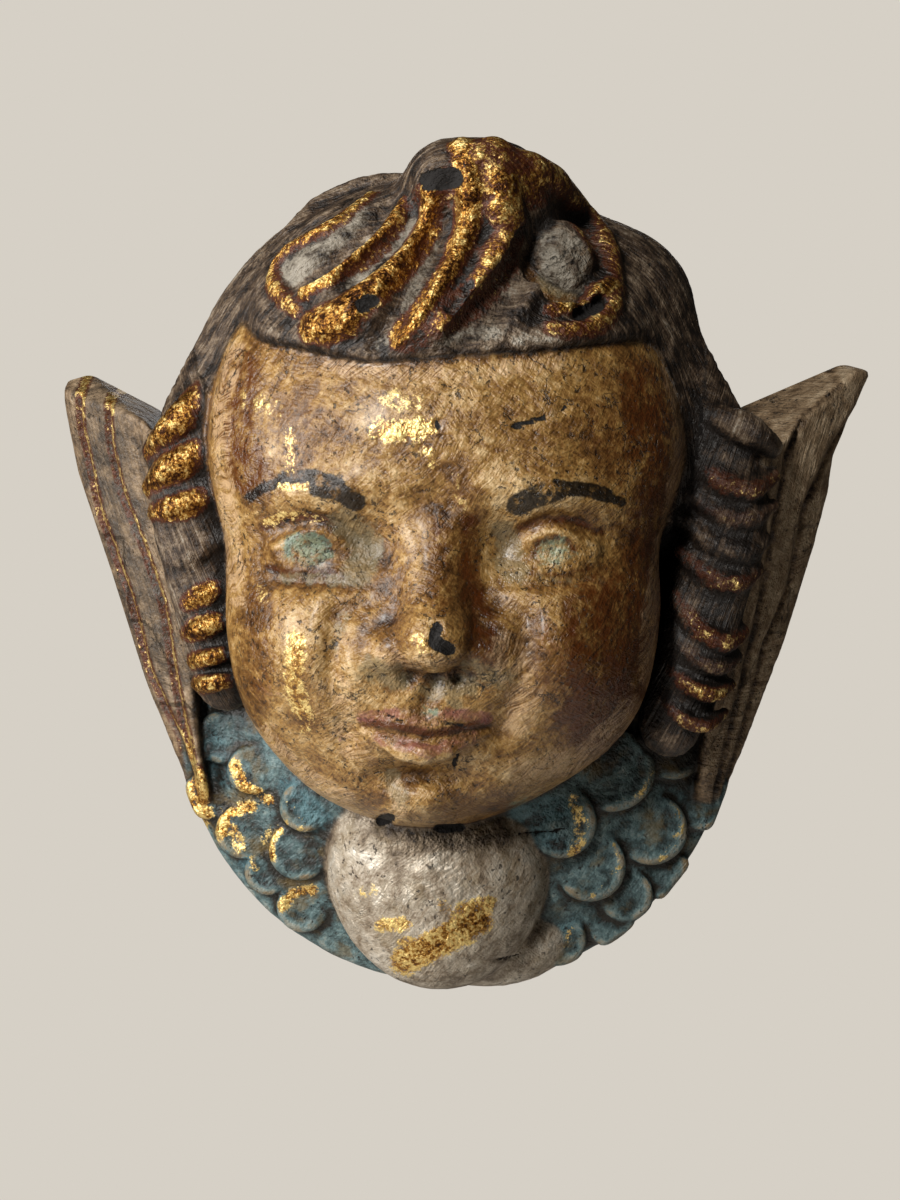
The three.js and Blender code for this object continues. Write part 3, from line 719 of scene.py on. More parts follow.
@dataclass
class Collar:
    """A low cone under the head, covered with scales."""

    x: float = 1.5
    z: float = -26.0
    radius: float = 69.0
    edge: float = 8.0
    slope: float = 0.62
    # Direction in degrees, share of the radius, size.
    scales: tuple = (
        (187.5, 0.831, 6.5),
        (196.9, 0.745, 6),
        (199.8, 0.944, 5.8),
        (210.4, 0.873, 6.7),
        (221.3, 0.885, 5.8),
        (212.8, 0.618, 6.3),
        (222.3, 0.737, 7.5),
        (232.5, 0.889, 6.5),
        (351, 0.764, 9.2),
        (339.3, 0.941, 7.7),
        (338.8, 0.575, 10.1),
        (327.9, 0.811, 8.7),
        (312.8, 0.523, 8.7),
        (310.3, 0.721, 8.7),
        (311.9, 0.9, 6.7),
        (321.2, 0.967, 6.3),
        (305.4, 0.955, 5.8),
        (294, 0.904, 6.5),
    )

    def __call__(self, p: Points) -> Points:
        """Distances to the collar.

        Args:
            p: Points in layout units.

        Returns:
            The distances, below 0 inside.
        """
        x, z = p[:, 0] - self.x, p[:, 2] - self.z
        away = np.hypot(x, z)
        above = (p[:, 1] - (self.edge + self.slope * (self.radius - away))) / np.hypot(1, self.slope)
        f = keep(above + 0.9, away - self.radius, 3)
        for turn, share, size in self.scales:
            c, s = np.cos(np.radians(turn)), np.sin(np.radians(turn))
            out = x * c + z * s - share * self.radius
            along = z * c - x * s
            far = np.hypot(out * 0.94, along)
            near = np.flatnonzero(far < size + 6)
            o, r = out[near], far[near]
            rim = 0.5 * np.exp(-(((r - size + 1.5) / 1.2) ** 2)) * ramp(-1, 4, o)
            top = above[near] - (0.2 + 0.30 * o - 0.012 * o * o + rim)
            scale = keep(keep(top, (r - size) * 0.95, 1), away[near] - self.radius - 0.8, 1.5)
            f[near] = join(f[near], scale, 0.6)
        return f


@dataclass
class Breast:
    """The rounded breast under the chin, with a lower fold."""

    upper: tuple = ((-3, 16, -61), (27.5, 22, 33.5))
    lower: tuple = ((9, 4, -82.5), (22, 15, 13))
    outline: tuple = ((-1, -60), (31, 35), 30)

    def __call__(self, p: Points) -> Points:
        """Distances to the breast."""
        around = oval(p[:, 0], p[:, 2], *self.outline)
        return join(keep(egg(p, *self.upper), around, 3), egg(p, *self.lower), 1.2)


@dataclass
class Carving:
    """The complete carving."""

    head: Head = field(default_factory=Head)

    def __post_init__(self) -> None:
        """Makes the parts that stand on the head."""
        self.parts = {
            "face": Face(self.head),
            "hair": Hair(self.head),
            "curls_left": Curls(**LEFT_CURLS),
            "curls_right": Curls(**RIGHT_CURLS),
            "wing_left": Wing(**LEFT_WING),
            "wing_right": Wing(**RIGHT_WING),
            "collar": Collar(),
            "breast": Breast(),
        }

    def each(self, p: Points) -> dict:
        """Distances to each part by name."""
        return {name: part(p) for name, part in self.parts.items()}

    def together(self, d: dict, p: Points) -> Points:
        """Joins the parts' distances into one shape.

        Args:
            d: Distances to each part, by name.
            p: Points in layout units.

        Returns:
            The distances to the whole.
        """
        hair = join(join(d["hair"], d["curls_left"], 6), d["curls_right"], 6)
        f = join(d["face"], hair, 0.8)
        for name in ("wing_left", "wing_right"):
            f = join(f, d[name], 2)
        f = join(f, join(d["collar"], d["breast"], 0.8), 1)
        return keep(f, -(p[:, 1] + 4), 1)

    def __call__(self, p: Points) -> Points:
        """Distances to the whole carving."""
        return self.together(self.each(p), p)


@dataclass
class Shell:
    """The outer surface of a carving as one closed mesh with a flat back."""

    carving: Carving
    cell: float = 0.93
    block: int = 5
    slack: float = 2.2
    portion: int = 300_000
    low: tuple = (-100.0, 0.0, -100.0)
    high: tuple = (109.0, 90.0, 109.0)
    # How far the view in front of a point is tried for hollows, and what each try counts.
    reaches: tuple = ((1.5, 0.3), (3.5, 0.35), (8.0, 0.35))
    points: Points = None
    faces: Points = None
    normals: Points = None
    rim: Points = None

    def distances(self, p: Points) -> Points:
        """Distances to the carving, worked out in portions."""
        parts = np.array_split(p.astype(np.float32), len(p) // self.portion + 1)
        return np.concatenate([self.carving(part) for part in parts])

    def sample(self) -> tuple:
        """Fills a grid with distances, finely only near the surface.

        Returns:
            The grid's first corner and the distances at its nodes.
        """
        step = self.cell * self.block
        start = np.array(self.low) - (0, self.cell / 2, 0)
        blocks = np.ceil((np.array(self.high) - start) / step).astype(int)
        centres = start + (np.indices(blocks).reshape(3, -1).T + 0.5) * step
        rough = self.distances(centres).reshape(blocks)
        values = np.sign(rough).astype(np.float32) * FAR
        half_diagonal = step * 0.87
        near = np.abs(rough) < half_diagonal + self.slack
        for axis in range(3):
            values, near = np.repeat(values, self.block, axis), np.repeat(near, self.block, axis)
        for axis in range(3):
            near |= np.roll(near, 1, axis)
        values[near] = self.distances(start + np.argwhere(near) * self.cell)
        return start, values

    def cross(self, start: Points, values: Points) -> None:
        """Puts a point in every cell that the surface crosses and a face across every crossed edge.

        Args:
            start: The grid's first corner.
            values: The distances at its nodes.
        """
        inside = values < 0
        places = np.indices((2, 2, 2)).reshape(3, -1).T
        sides = np.array(values.shape) - 1

        def at_corner(array: Points, place: Points) -> Points:
            """Values at one corner of every cell."""
            return array[tuple(slice(a, a + n) for a, n in zip(place, sides))]

        count = sum(at_corner(inside, place).astype(np.int8) for place in places)
        mixed = (count > 0) & (count < 8)
        number = np.full(mixed.shape, -1, np.int64)
        number[mixed] = np.arange(mixed.sum())
        f = [at_corner(values, place)[mixed] for place in places]
        total, hits = np.zeros((len(f[0]), 3)), np.zeros(len(f[0]))
        for a, b in [(a, b) for a in range(8) for b in range(a) if abs(places[a] - places[b]).sum() == 1]:
            crossed = (f[a] < 0) != (f[b] < 0)
            share = np.where(crossed, f[a] / np.where(crossed, f[a] - f[b], 1), 0)
            total += crossed[:, None] * (places[a] + share[:, None] * (places[b] - places[a]))
            hits += crossed
        self.points = start + (np.argwhere(mixed) + total / hits[:, None]) * self.cell
        faces = []
        for axis in range(3):
            u, v = (axis + 1) % 3, (axis + 2) % 3
            change = np.diff(inside.astype(np.int8), axis=axis)
            at = np.argwhere(change)
            at = at[(at[:, u] > 0) & (at[:, v] > 0)]
            ring = []
            for du, dv in ((0, 0), (1, 0), (1, 1), (0, 1)):
                cell = at.copy()
                cell[:, u] -= du
                cell[:, v] -= dv
                ring.append(number[tuple(cell.T)])
            ring = np.stack(ring, 1)
            leaves = change[tuple(at.T)] < 0
            ring[leaves] = ring[leaves][:, ::-1]
            faces.append(ring)
        self.faces = np.concatenate(faces)

    def find_rim(self) -> None:
        """Finds the loop of points where the front meets the flat back."""
        count = len(self.points)
        starts, ends = self.faces.ravel(), np.roll(self.faces, -1, 1).ravel()
        open_edges = ~np.isin(starts * count + ends, ends * count + starts)
        follow = dict(zip(ends[open_edges].tolist(), starts[open_edges].tolist()))
        loop = [next(iter(follow))]
        while follow[loop[-1]] != loop[0]:
            loop.append(follow[loop[-1]])
        if len(loop) != open_edges.sum():
            raise ValueError("the back isn't one plain outline")
        self.rim = np.array(loop)

    def slope(self, p: Points) -> Points:
        """The direction in which the distances grow.

        Args:
            p: Points in layout units.

        Returns:
            The slope of the distances at each point.
        """
        reach = 0.2
        ways = np.array([(1, -1, -1), (-1, -1, 1), (-1, 1, -1), (1, 1, 1)], np.float32)
        return sum(way * self.distances(p + reach * way)[:, None] for way in ways) / (4 * reach)

    def settle(self) -> None:
        """Moves the points onto the true surface, the rim within the plane of the back."""
        g = self.slope(self.points)
        g[self.rim, 1] = 0
        move = self.distances(self.points)[:, None] * g / np.maximum((g * g).sum(1), 0.3)[:, None]
        self.points -= np.clip(move, -self.cell, self.cell)
        self.points[self.rim, 1] = 0
        self.normals = g / np.maximum(np.linalg.norm(g, axis=1), 1e-6)[:, None]

    def smooth(self, values: Points, times: int) -> Points:
        """Averages values with those of neighbouring points, a number of times.

        Args:
            values: A value for each point.
            times: Number of rounds.

        Returns:
            The averaged values.
        """
        a, b = self.faces.ravel(), np.roll(self.faces, -1, 1).ravel()
        near = np.maximum(np.bincount(a, minlength=len(values)), 1)
        for _ in range(times):
            columns = [np.bincount(a, column[b], len(values)) / near for column in values.T]
            values = 0.5 * values + 0.5 * np.stack(columns, 1)
        return values

    def build(self) -> None:
        """Works out the points, faces and normals of the shell."""
        self.cross(*self.sample())
        self.find_rim()
        self.points[self.rim, 1] = 0
        self.settle()
        shift = self.smooth(self.points, 1) - self.points
        shift -= self.normals * (shift * self.normals).sum(1)[:, None]
        shift[self.rim] = 0
        self.points += shift
        self.settle()

    def relief(self, times: int) -> Points:
        """How far each point stands above its smoothed surroundings."""
        return ((self.points - self.smooth(self.points, times)) * self.normals).sum(1)

    def hollow(self) -> Points:
        """How much of the open air in front of each point is closed off, from 0 to 1.

        Returns:
            The share for each point.
        """
        closed = np.zeros(len(self.points))
        for reach, share in self.reaches:
            free = self.distances(self.points + reach * self.normals) / reach
            closed += share * np.clip(1 - free, 0, 1)
        return closed

    def mesh(self, name: str) -> bpy.types.Mesh:
        """The shell as a mesh in metres, with its flat back as one face.

        Args:
            name: Name of the mesh.

        Returns:
            The mesh, with the back on its second material slot.
        """
        made = bpy.data.meshes.new(name)
        count, total = len(self.faces), len(self.faces) + 1
        made.vertices.add(len(self.points))
        places = self.points * (MILLIMETRE, -MILLIMETRE, MILLIMETRE)
        made.vertices.foreach_set("co", places.astype(np.float32).ravel())
        loops = np.concatenate([self.faces.ravel(), self.rim])
        made.loops.add(len(loops))
        made.loops.foreach_set("vertex_index", loops.astype(np.int32))
        made.polygons.add(total)
        made.polygons.foreach_set("loop_start", np.arange(total, dtype=np.int32) * 4)
        is_back = np.arange(total) == count
        made.polygons.foreach_set("material_index", is_back.astype(np.int32))
        made.update(calc_edges=True)
        made.validate()
        made.attributes.new("back", "BOOLEAN", "FACE").data.foreach_set("value", is_back)
        made.shade_smooth()
        pairs = np.empty(2 * len(made.edges), np.int32)
        made.edges.foreach_get("vertices", pairs)
        on_rim = np.zeros(len(self.points), bool)
        on_rim[self.rim] = True
        sharp = made.attributes.new("sharp_edge", "BOOLEAN", "EDGE")
        sharp.data.foreach_set("value", on_rim[pairs].reshape(-1, 2).all(1))
        return made


class Layer(Enum):
    """Layers of paint, leaf and wear that lie in places of their own; the brown layer is partly painted
    shade.
    """

    GOLD = "gold"
    # Brown patches, and broad brown strokes that darken the right side of the face as painted shade.
    BROWN = "brown"
    PALE = "pale"
    GREY = "grey"
    PINK = "pink"
    TEAL = "teal"
    BROW = "brow"
    CHIP = "chip"
    ROUGH = "rough"


# Strokes of each layer: half width, strength, then sideways and upward places as seen from
# half a metre in front.
STROKES = {
    Layer.GOLD: (
        (3.5, 0.72, -17.5, 42.5, -11.2, 42.5, -6, 43), (2, 0.55, -6.2, 38.8, -4, 33.5),
        (3.2, 0.5, -16.2, 50, -8.8, 49.5), (1.8, 0.55, -40, 42.5, -40, 32.5),
        (3.5, 0.35, -50, 50, -43.8, 48), (2, 0.8, -45.5, 19.5, -38.8, 20.8, -31.2, 19.8),
        (1.2, 0.6, -42.5, 28.2, -35.8, 28.5), (3, 0.72, -38.5, -10, -39.2, -20, -37, -28),
        (1.8, 0.6, -35.5, -30, -36.5, -32), (2.2, 0.3, -47, 7.5, -47, 0),
        (2.2, 0.45, -8, -10, -6.2, -11.5), (2, 0.3, 1.2, 32.5, 3, 20),
        (1.2, 0.4, -37.5, -57.5, -35.5, -59.5), (5, 0.75, 0, 102.5, 10, 104.5, 20, 103.8),
        (3, 0.6, -6.2, 101.2, -8.8, 97.5), (2, 0.45, 17.5, 98.8, 26.5, 101, 33.5, 93.5, 38.5, 84.5),
        (1.5, 0.7, 23.8, 71.8, 31.2, 73.5, 39, 77), (1.2, 0.5, 25.8, 69.5, 27.5, 67),
        (1.9, 1, -53.8, -41.2, -51.2, -46.8, -45, -50), (3.2, 1, -62.5, -45, -63, -50, -61, -54),
        (2.2, 1, -57, -58, -56, -53, -50, -51.5), (2.2, 0.8, -54.5, -57.5, -52.5, -61.2),
        (1.8, 0.9, -45, -63.8, -45.8, -59.5, -42, -56.5), (1.5, 0.7, -49.5, -64, -48.5, -67),
        (1.9, 1, -41.5, -76.2, -39.5, -73.2, -34.5, -72.5), (1.2, 0.5, -40, -51.2, -36.2, -55.5),
        (2, 0.7, 30.8, -50, 32.8, -56.2, 31, -63.8), (1, 0.4, 39.5, -50, 47.5, -48.8, 50.5, -43),
        (1.2, 0.45, 56.2, -51.2, 57.5, -57.5, 53, -64.5), (1, 0.45, 40.5, -58.8, 42, -67, 35.5, -73.8),
        (1.2, 0.7, 30, -82.5, 29, -86.5), (2.2, 0.75, -17, -81.2, -11.2, -81),
        (4.2, 1.05, -11.2, -90, 0, -84, 7, -80), (2.2, 0.8, 3, -77.5, 10, -75.5),
        (2, 0.6, -2.5, -76.2, 1.2, -78.8), (2, 0.4, -22.5, -73.2, -19.5, -72),
        (1.2, 0.7, -12.5, -85.5, -10, -85),
    ),
    # The broad strokes over the right side of the face darken it as painted shade; the others are brown
    # patches.
    Layer.BROWN: (
        (9, 0.9, 62.5, 42.5, 68, 15, 65.5, -10, 60, -26.2),
        (1, 0.95, -47, 18, -41.2, 20.2, -33.8, 20.8, -28, 19),
        (1, 0.7, -45.5, 8.2, -37.5, 6.8, -28.8, 7.2),
        (1, 0.95, 17.5, 18.2, 23.8, 20.2, 31.2, 20, 37.5, 17), (1, 0.6, 20, 6.8, 27.5, 6.2, 35.5, 8.2),
        (0.8, 0.8, -40.8, 12, -40, 15, -36.5, 17, -32, 16, -30, 12.5),
        (0.8, 0.7, 20.8, 11, 21.8, 14.2, 25.5, 16, 29.5, 15, 31.2, 12),
        (8.5, 0.75, 50, 52.5, 53.5, 35, 50, 10, 48.8, -5), (9, 0.9, 40, 0, 43, -17.5, 36.5, -32.5),
        (4, 0.6, 7.5, -2.5, 12.5, -12.5), (3, 0.8, 3.8, 10, 6.5, 0),
        (1.1, 0.95, -22, -30.5, -13, -31.5, -5, -33.5, 3, -32, 9, -30.5),
        (8.5, 0.8, 35, -2.5, 33.8, -15, 32.5, -27.5), (3.8, 0.6, 31, -17.5, 31.8, -28.8),
        (7.5, 0.7, 47.5, 55, 48.8, 37.5), (7.5, 0.45, 37.5, 45, 41.2, 32.5), (3.2, 0.75, 5, 20, 4.5, 0),
        (5, 0.5, -2.5, 20, -2.5, -2.5), (5, 0.8, 7.5, -7, 10, -12.5), (5.5, 0.5, -48, 0, -47, -20),
        (4, 0.45, -36.2, -15, -35, -30), (6.5, 0.75, -52.5, 57.5, -53.8, 42.5, -50, 30),
        (5.5, 0.4, -37.5, 50, -30, 40), (8.5, 0.35, 12.5, 45, 22.5, 36.2),
        (4, 0.45, 1.2, 32.5, 3.8, 25), (2.2, 0.5, -40, 5.5, -26.2, 4.5), (3.2, 0.4, 20, 2.5, 37.5, 2.5),
        (4.5, 0.5, -2.5, -51.2, 12.5, -50), (5.5, 0.4, 32.5, -36.2, 42.5, -33.8),
        (4, 0.35, 27.5, 55, 40, 56.2), (2.5, 0.35, -17.5, 10, -13.8, -5),
        (3.5, 0.35, -26.2, -45, -18.8, -50), (3, 0.35, 47.5, 10, 45.5, -20),
        (6, 0.8, -88, 40, -80, 10, -72.5, -17.5), (5, 0.5, 22.5, -6.2, 24.5, -22.5),
        (5, 0.4, -42.5, 50, -37.5, 35),
    ),
    Layer.PALE: (
        (11.5, 1, 67.5, -35, 80, 0, 91.2, 37.5, 103, 53.8), (2.5, 0.3, 60, 40, 67.5, 32.5),
        (2.8, 0.75, -53.5, 62.5, -57, 50, -57, 35, -54.5, 15, -53, 0),
        (2.8, 0.75, 55, 57.5, 58.5, 45, 57.5, 32.5, 53.5, 15, 50.5, 0, 49.5, -20),
        (3, 0.6, -30, 58.5, -12.5, 56, 7.5, 57, 27.5, 59.5),
        (6.5, 0.5, -29.5, -22.5, -27.5, -30, -22.5, -37.5),
        (5.5, 0.7, 13.8, -12.5, 18.8, -22.5, 17.5, -30), (3, 0.55, -20, -15, -2.5, -15),
        (3, 0.4, -33, -10, -26.2, -11.2), (3.2, 0.8, -47, -33.8, -37.5, -43.8, -26.2, -50),
        (2.2, 0.8, -13.8, -46.2, -12.5, -53), (3.5, 0.5, 15, 0, 20, -10),
        (3, 0.35, 12.5, 13.8, 17.5, 3.8), (2.2, 0.4, 12.5, 25, 16.5, 23.8),
        (2.5, 0.35, -45, 0, -37.5, -6.2), (4.2, 0.7, 17.5, -42.5, 32.5, -40, 45, -27.5),
        (2, 0.3, -37.5, 10, -30, 6.2), (2.5, 0.2, -25, 67.5, -7.5, 50),
    ),
    Layer.GREY: (
        (7.5, 0.5, -87.5, 50, -81.2, 20, -70, -22.5), (4.8, 0.8, -26.2, 19.5, -20.5, 13.8, -23, 7),
        (4.5, 0.7, 13.8, 17, 16, 7), (3.5, 0.7, -5, -22.5, 5, -21.2), (4, 0.65, -20.5, -17, -13, -20),
        (3.5, 0.6, 5, -17, 13.8, -20), (2, 0.55, -41.2, 5.5, -26.2, 5),
        (2, 0.5, -26.2, -2.5, -29, -12.5), (2, 0.4, 22.5, 5, 37.5, 4.5), (2.5, 0.35, 35, 15, 37.5, 10),
        (3, 0.6, -15, -43.8, -12.5, -50), (2.2, 0.35, -25, -25, -24.5, -30),
        (6.5, 0.95, 28, 87, 28, 81), (3.2, 1, -39.5, 82, -31.2, 88.8, -23, 96.2),
        (1.6, 0.95, -25, 79, -16.2, 87, -9.5, 93.8), (1.6, 0.9, -3.2, 96.2, -5, 86.2, -11.2, 72.5),
        (2.5, 0.6, -2.5, 65, 5, 66, 12.5, 67.5), (2.5, 0.55, 13.8, 84.5, 13, 75),
        (1.8, 0.5, -13.8, 66.2, -17.5, 63.8), (1.8, 0.7, 0, -25, 2, -26.2),
        (2, 0.25, 17.5, 42.5, 27.5, 47.5),
    ),
    Layer.PINK: (
        (1.8, 0.9, -22, -29.2, -13, -28.5, -6.8, -31, 0, -28.5, 9.2, -29.5),
        (2.2, 0.75, -17.5, -34.5, -5, -38, 6, -34.5), (4.5, 0.3, -47, -22.5, -42.5, -32.5),
        (3.5, 0.35, 23.8, -5, 25.5, -15), (2.5, 0.35, -27.5, -33.8, -22.5, -36.2),
    ),
    Layer.TEAL: (
        (5, 1, -37, 12.8, -34, 12.8), (5, 0.6, 25, 11.8, 27.5, 11.8),
        (1.8, 0.75, -6.2, -28, -3.5, -28.5), (3.8, 0.85, 17.5, -53, 27.5, -52),
        (3, 0.7, 20, -58.8, 27.5, -61.2), (5.5, 0.5, -63.5, -28.8, -58.8, -40, -57, -43),
        (4.2, 0.7, -40, -47.5, -33, -55), (4, 0.45, 51.2, -28.8, 60, -30),
        (5, 0.3, 45, -40, 37.5, -47.5), (3, 0.45, 35, -76.2, 27.5, -82.5),
        (3.5, 0.4, 60, -47.5, 65.5, -50), (3, 0.5, -47.5, -70, -51.2, -65.5),
        (3, 0.35, 25, -75, 30, -70),
    ),
    Layer.BROW: (
        (1.6, 0.85, -51, 25, -47, 27.8, -41.5, 29.8), (2.1, 0.9, -41.5, 30.5, -33.8, 31, -28, 29),
        (2.5, 1.15, -33, 28, -28, 27.2, -23.5, 24.5), (1.8, 0.55, -40, 28.2, -32.5, 28.5),
        (2.9, 1.3, 17, 23.8, 21, 25.8, 26.5, 27.5), (2.1, 1, 26.5, 28, 35, 27.5, 39, 26.2),
        (1.4, 0.9, 37.5, 26.5, 43, 24.5),
    ),
    Layer.ROUGH: (
        (6.5, 1, 27.5, 87.5, 28, 81.2), (5.5, 0.9, 16.2, 86.2, 13.8, 75, 10, 67.5),
        (3, 0.9, -2.5, 63.8, 7.5, 65, 27.5, 63.8), (2, 0.4, -30, -60, -17.5, -59.5),
        (3, 0.8, -22.5, -59.5, -7.5, -61.2, 12.5, -59.5), (4, 0.7, -12.5, -16.2, -2.5, -17, 5, -20),
        (4, 0.5, 13.8, -12.5, 17.5, -22.5), (4.5, 0.45, -25, -22.5, -26.2, -30),
        (2.5, 0.6, -16.2, -46.2, -12.5, -53.8), (4.5, 0.35, -26.2, 10, -20, 5),
        (2.2, 0.5, -16.2, 98.8, -26.2, 86.2, -37.5, 79.5), (2, 0.5, -1.2, 97.5, -5, 85, -13.8, 67.5),
        (4, 0.5, -65, 13.8, -63.8, 10), (3.5, 0.5, 23.8, -55, 27.5, -60),
        (3, 0.6, -37.5, -50, -35, -55), (2.5, 0.5, -7.5, -28.8, 5, -33.8),
        (2.5, 0.3, 42.5, -35, 35, -42.5),
    ),
    Layer.CHIP: (
        (1.5, 1.1, -3.2, -6.8, -4, -9), (1.8, 1.15, -4, -10.5, 0, -12.5),
        (1.5, 1, -17.2, -55.2, -15.2, -54.8), (1.1, 1, -3, -57.2, 3, -57),
        (2.8, 1.2, -5, 104.8, 0.5, 105.5), (2.5, 0.9, -21.5, 73.8, -19.8, 74.5),
        (1.5, 1.2, 32, 71.5, 36.8, 73.5), (0.8, 0.8, 16, 43.5, 20, 44.5, 24, 45.8),
        (0.7, 0.9, 1.8, -39, 1.2, -41.5), (0.7, 0.6, 17.5, -58.5, 23.8, -58, 29, -57.2),
        (0.5, 0.7, 14, 46.2, 15.5, 45.5), (0.5, 0.6, -41.8, 19.5, -40, 19.8),
        (0.8, 0.6, -16.5, -28.5, -12, -30.5), (0.8, 0.6, -2.5, -30.5, 3, -31.5),
        (0.8, 0.8, -3.5, 44.8, -2.8, 43), (0.5, 0.6, -29.2, 45.5, -28.5, 44),
        (0.5, 0.6, 11.8, -90, 17.5, -88.8), (1, 0.5, 5, -20.5, 9, -22.5),
        (0.5, 0.8, 27.5, 47.5, 28.8, 48.2),
    ),
}


@dataclass
class Paint:
    """Where each paint, leaf and wear lies on the shell."""

    carving: Carving
    eye_distance: float = 520.0
    ridge_gold: tuple = (0.6, 0.9, 1.0, 0.95, 0.5, 0.42, 0.75, 0.45, 0.0)
    left_gold: tuple = (0.9, 1.0, 0.95, 0.0, 0.9, 1.0, 0.85, 0.85)
    right_gold: tuple = (0.05, 0.16, 0.1, 0.05, 0.16, 0.2, 0.1, 0.28, 0.16)
    groove_gold: float = 0.95
    # Where a stroke and the leaf on a ridge begin and are whole, in half widths and in millimetres.
    stroke_edge: tuple = (1.5, 0.3)
    leaf_edge: tuple = (1.5, -0.1)
    region_edge: tuple = (0.6, -0.6)
    fine_rounds: int = 8
    broad_rounds: int = 90
    turn_radius: float = 60.0
    masks: dict = field(default_factory=dict)

    def strokes(self, layer: Layer, p: Points) -> Points:
        """Strength of a layer's strokes at points.

        Args:
            layer: The layer.
            p: Points on the shell.

        Returns:
            Strengths from 0 up.
        """
        seen = p[:, [0, 2]] * (self.eye_distance / (self.eye_distance - p[:, 1]))[:, None]
        out = np.zeros(len(p))
        for half, strength, *places in STROKES[layer]:
            q = np.reshape(places, (-1, 2)).astype(float)
            gap = np.full(len(p), np.inf)
            for a, b in zip(q[:-1], q[1:]):
                run = b - a
                t = np.clip((seen - a) @ run / (run @ run), 0, 1)
                gap = np.minimum(gap, np.hypot(*(seen - a - t[:, None] * run).T))
            out = np.maximum(out, strength * ramp(*self.stroke_edge, gap / half))
        return out

    def gilded(self, rods: list, strengths: tuple, p: Points) -> Points:
        """Gold along the tops of rods, each with its own strength.

        Args:
            rods: The rods.
            strengths: Strength of the gold on each rod.
            p: Points in layout units.

        Returns:
            The strength of the gold at each point.
        """
        out = np.zeros(len(p))
        for rod, strength in zip(rods, strengths):
            if strength:
                out = np.maximum(out, strength * ramp(*self.leaf_edge, rod(p)))
        return out

    def regions(self, d: dict) -> dict:
        """Share of each painted region at points, from the distances to the parts.

        Args:
            d: Distances to each part, by name.

        Returns:
            The shares, by name of the region.
        """
        near = {
            "skin": d["face"],
            "hair": np.minimum(np.minimum(d["hair"], d["curls_left"]), d["curls_right"]),
            "wing": np.minimum(d["wing_left"], d["wing_right"]),
            "scale": d["collar"],
            "breast": d["breast"],
        }
        shares = {}
        for name, own in near.items():
            rest = np.min([other for key, other in near.items() if key != name], axis=0)
            shares[name] = ramp(*self.region_edge, own - rest)
        return shares

    def grain(self, p: Points, d: dict) -> Points:
        """Places across and along the strokes of the brush and the carving tools.

        Args:
            p: Points on the shell.
            d: Distances of the points to the parts.

        Returns:
            Places, with each region on a level of its own so that no two share a noise.
        """
        out = np.zeros_like(p)

        def put(where: Points, across: Points, along: Points, level: float) -> None:
            """Sets the places of a region."""
            out[where] = np.stack([across, along, 0 * along + level], 1)[where]

        def polar(centre: Head | Collar) -> tuple:
            """Places away from a centre and around it."""
            x, z = p[:, 0] - centre.x, p[:, 2] - centre.z
            return np.hypot(x, z), self.turn_radius * np.arctan2(z, x)

        curls = np.minimum(d["curls_left"], d["curls_right"])
        hair = np.minimum(d["hair"], curls)
        away, around = polar(self.carving.head)
        put(np.full(len(p), True), p[:, 0], p[:, 2], 90)
        put(hair < d["face"], away - p[:, 1], around, 0)
        beside = (curls < d["hair"]) & (curls < d["face"])
        put(beside, p[:, 2] - 0.02 * p[:, 0] ** 2, p[:, 0] + p[:, 1], 200)
        for name in ("wing_left", "wing_right"):
            wing = self.carving.parts[name]
            on_wing = d[name] < np.minimum(hair, np.minimum(d["face"], d["collar"]))
            put(on_wing, wing.within(p, wing.outer) + 0.8 * p[:, 1], p[:, 2], 300)
        away, around = polar(self.carving.parts["collar"])
        put(d["collar"] < np.minimum(np.minimum(curls, d["face"]), d["breast"]), around, away, 400)
        return out

    def grooves(self, p: Points) -> Points:
        """The lines between the wings' feathers.

        Args:
            p: Points in layout units.

        Returns:
            The strength of the lines at each point.
        """
        out = np.zeros(len(p))
        for name in ("wing_left", "wing_right"):
            wing = self.carving.parts[name]
            for edge in wing.feathers:
                t = wing.within(p, edge)
                out = np.maximum(out, np.exp(-(((t + 0.4) / 1.1) ** 2)) * (wing.side * p[:, 0] > 50))
        return out

    def lay(self, shell: Shell) -> None:
        """Works out all masks on a shell.

        Args:
            shell: The built shell.
        """
        p = shell.points.astype(np.float32)
        d = self.carving.each(p)
        parts = self.carving.parts
        self.masks = self.regions(d)
        for layer in Layer:
            self.masks[layer.value] = self.strokes(layer, p)
        gold = self.gilded(parts["hair"].made["ridges"], self.ridge_gold, p)
        gold = np.maximum(gold, self.gilded(parts["curls_left"].made[1:], self.left_gold, p))
        gold = np.maximum(gold, self.gilded(parts["curls_right"].made[1:], self.right_gold, p))
        self.masks["groove"] = self.grooves(p) * self.masks["wing"]
        gold = np.maximum(gold * self.masks["hair"], self.masks["gold"])
        self.masks["gold"] = np.maximum(gold, self.groove_gold * self.masks["groove"] * (p[:, 0] < 0))
        # Besides wear and leaf, the relief and hollow masks lighten rises and darken creases in the colour
        # as painted highlight and painted shade.
        self.masks["fine"] = shell.relief(self.fine_rounds)
        self.masks["broad"] = shell.relief(self.broad_rounds)
        self.masks["hollow"] = shell.hollow()
        self.masks["grain"] = self.grain(p, d)

    def mark(self, mesh: bpy.types.Mesh) -> None:
        """Writes the masks on a mesh, for its material and its tool marks.

        Args:
            mesh: The finished mesh.
        """
        for name, values in self.masks.items():
            kind, key = ("FLOAT_VECTOR", "vector") if values.ndim == 2 else ("FLOAT", "value")
            layer = mesh.attributes.new(name, kind, "POINT")
            layer.data.foreach_set(key, values.astype(np.float32).ravel())


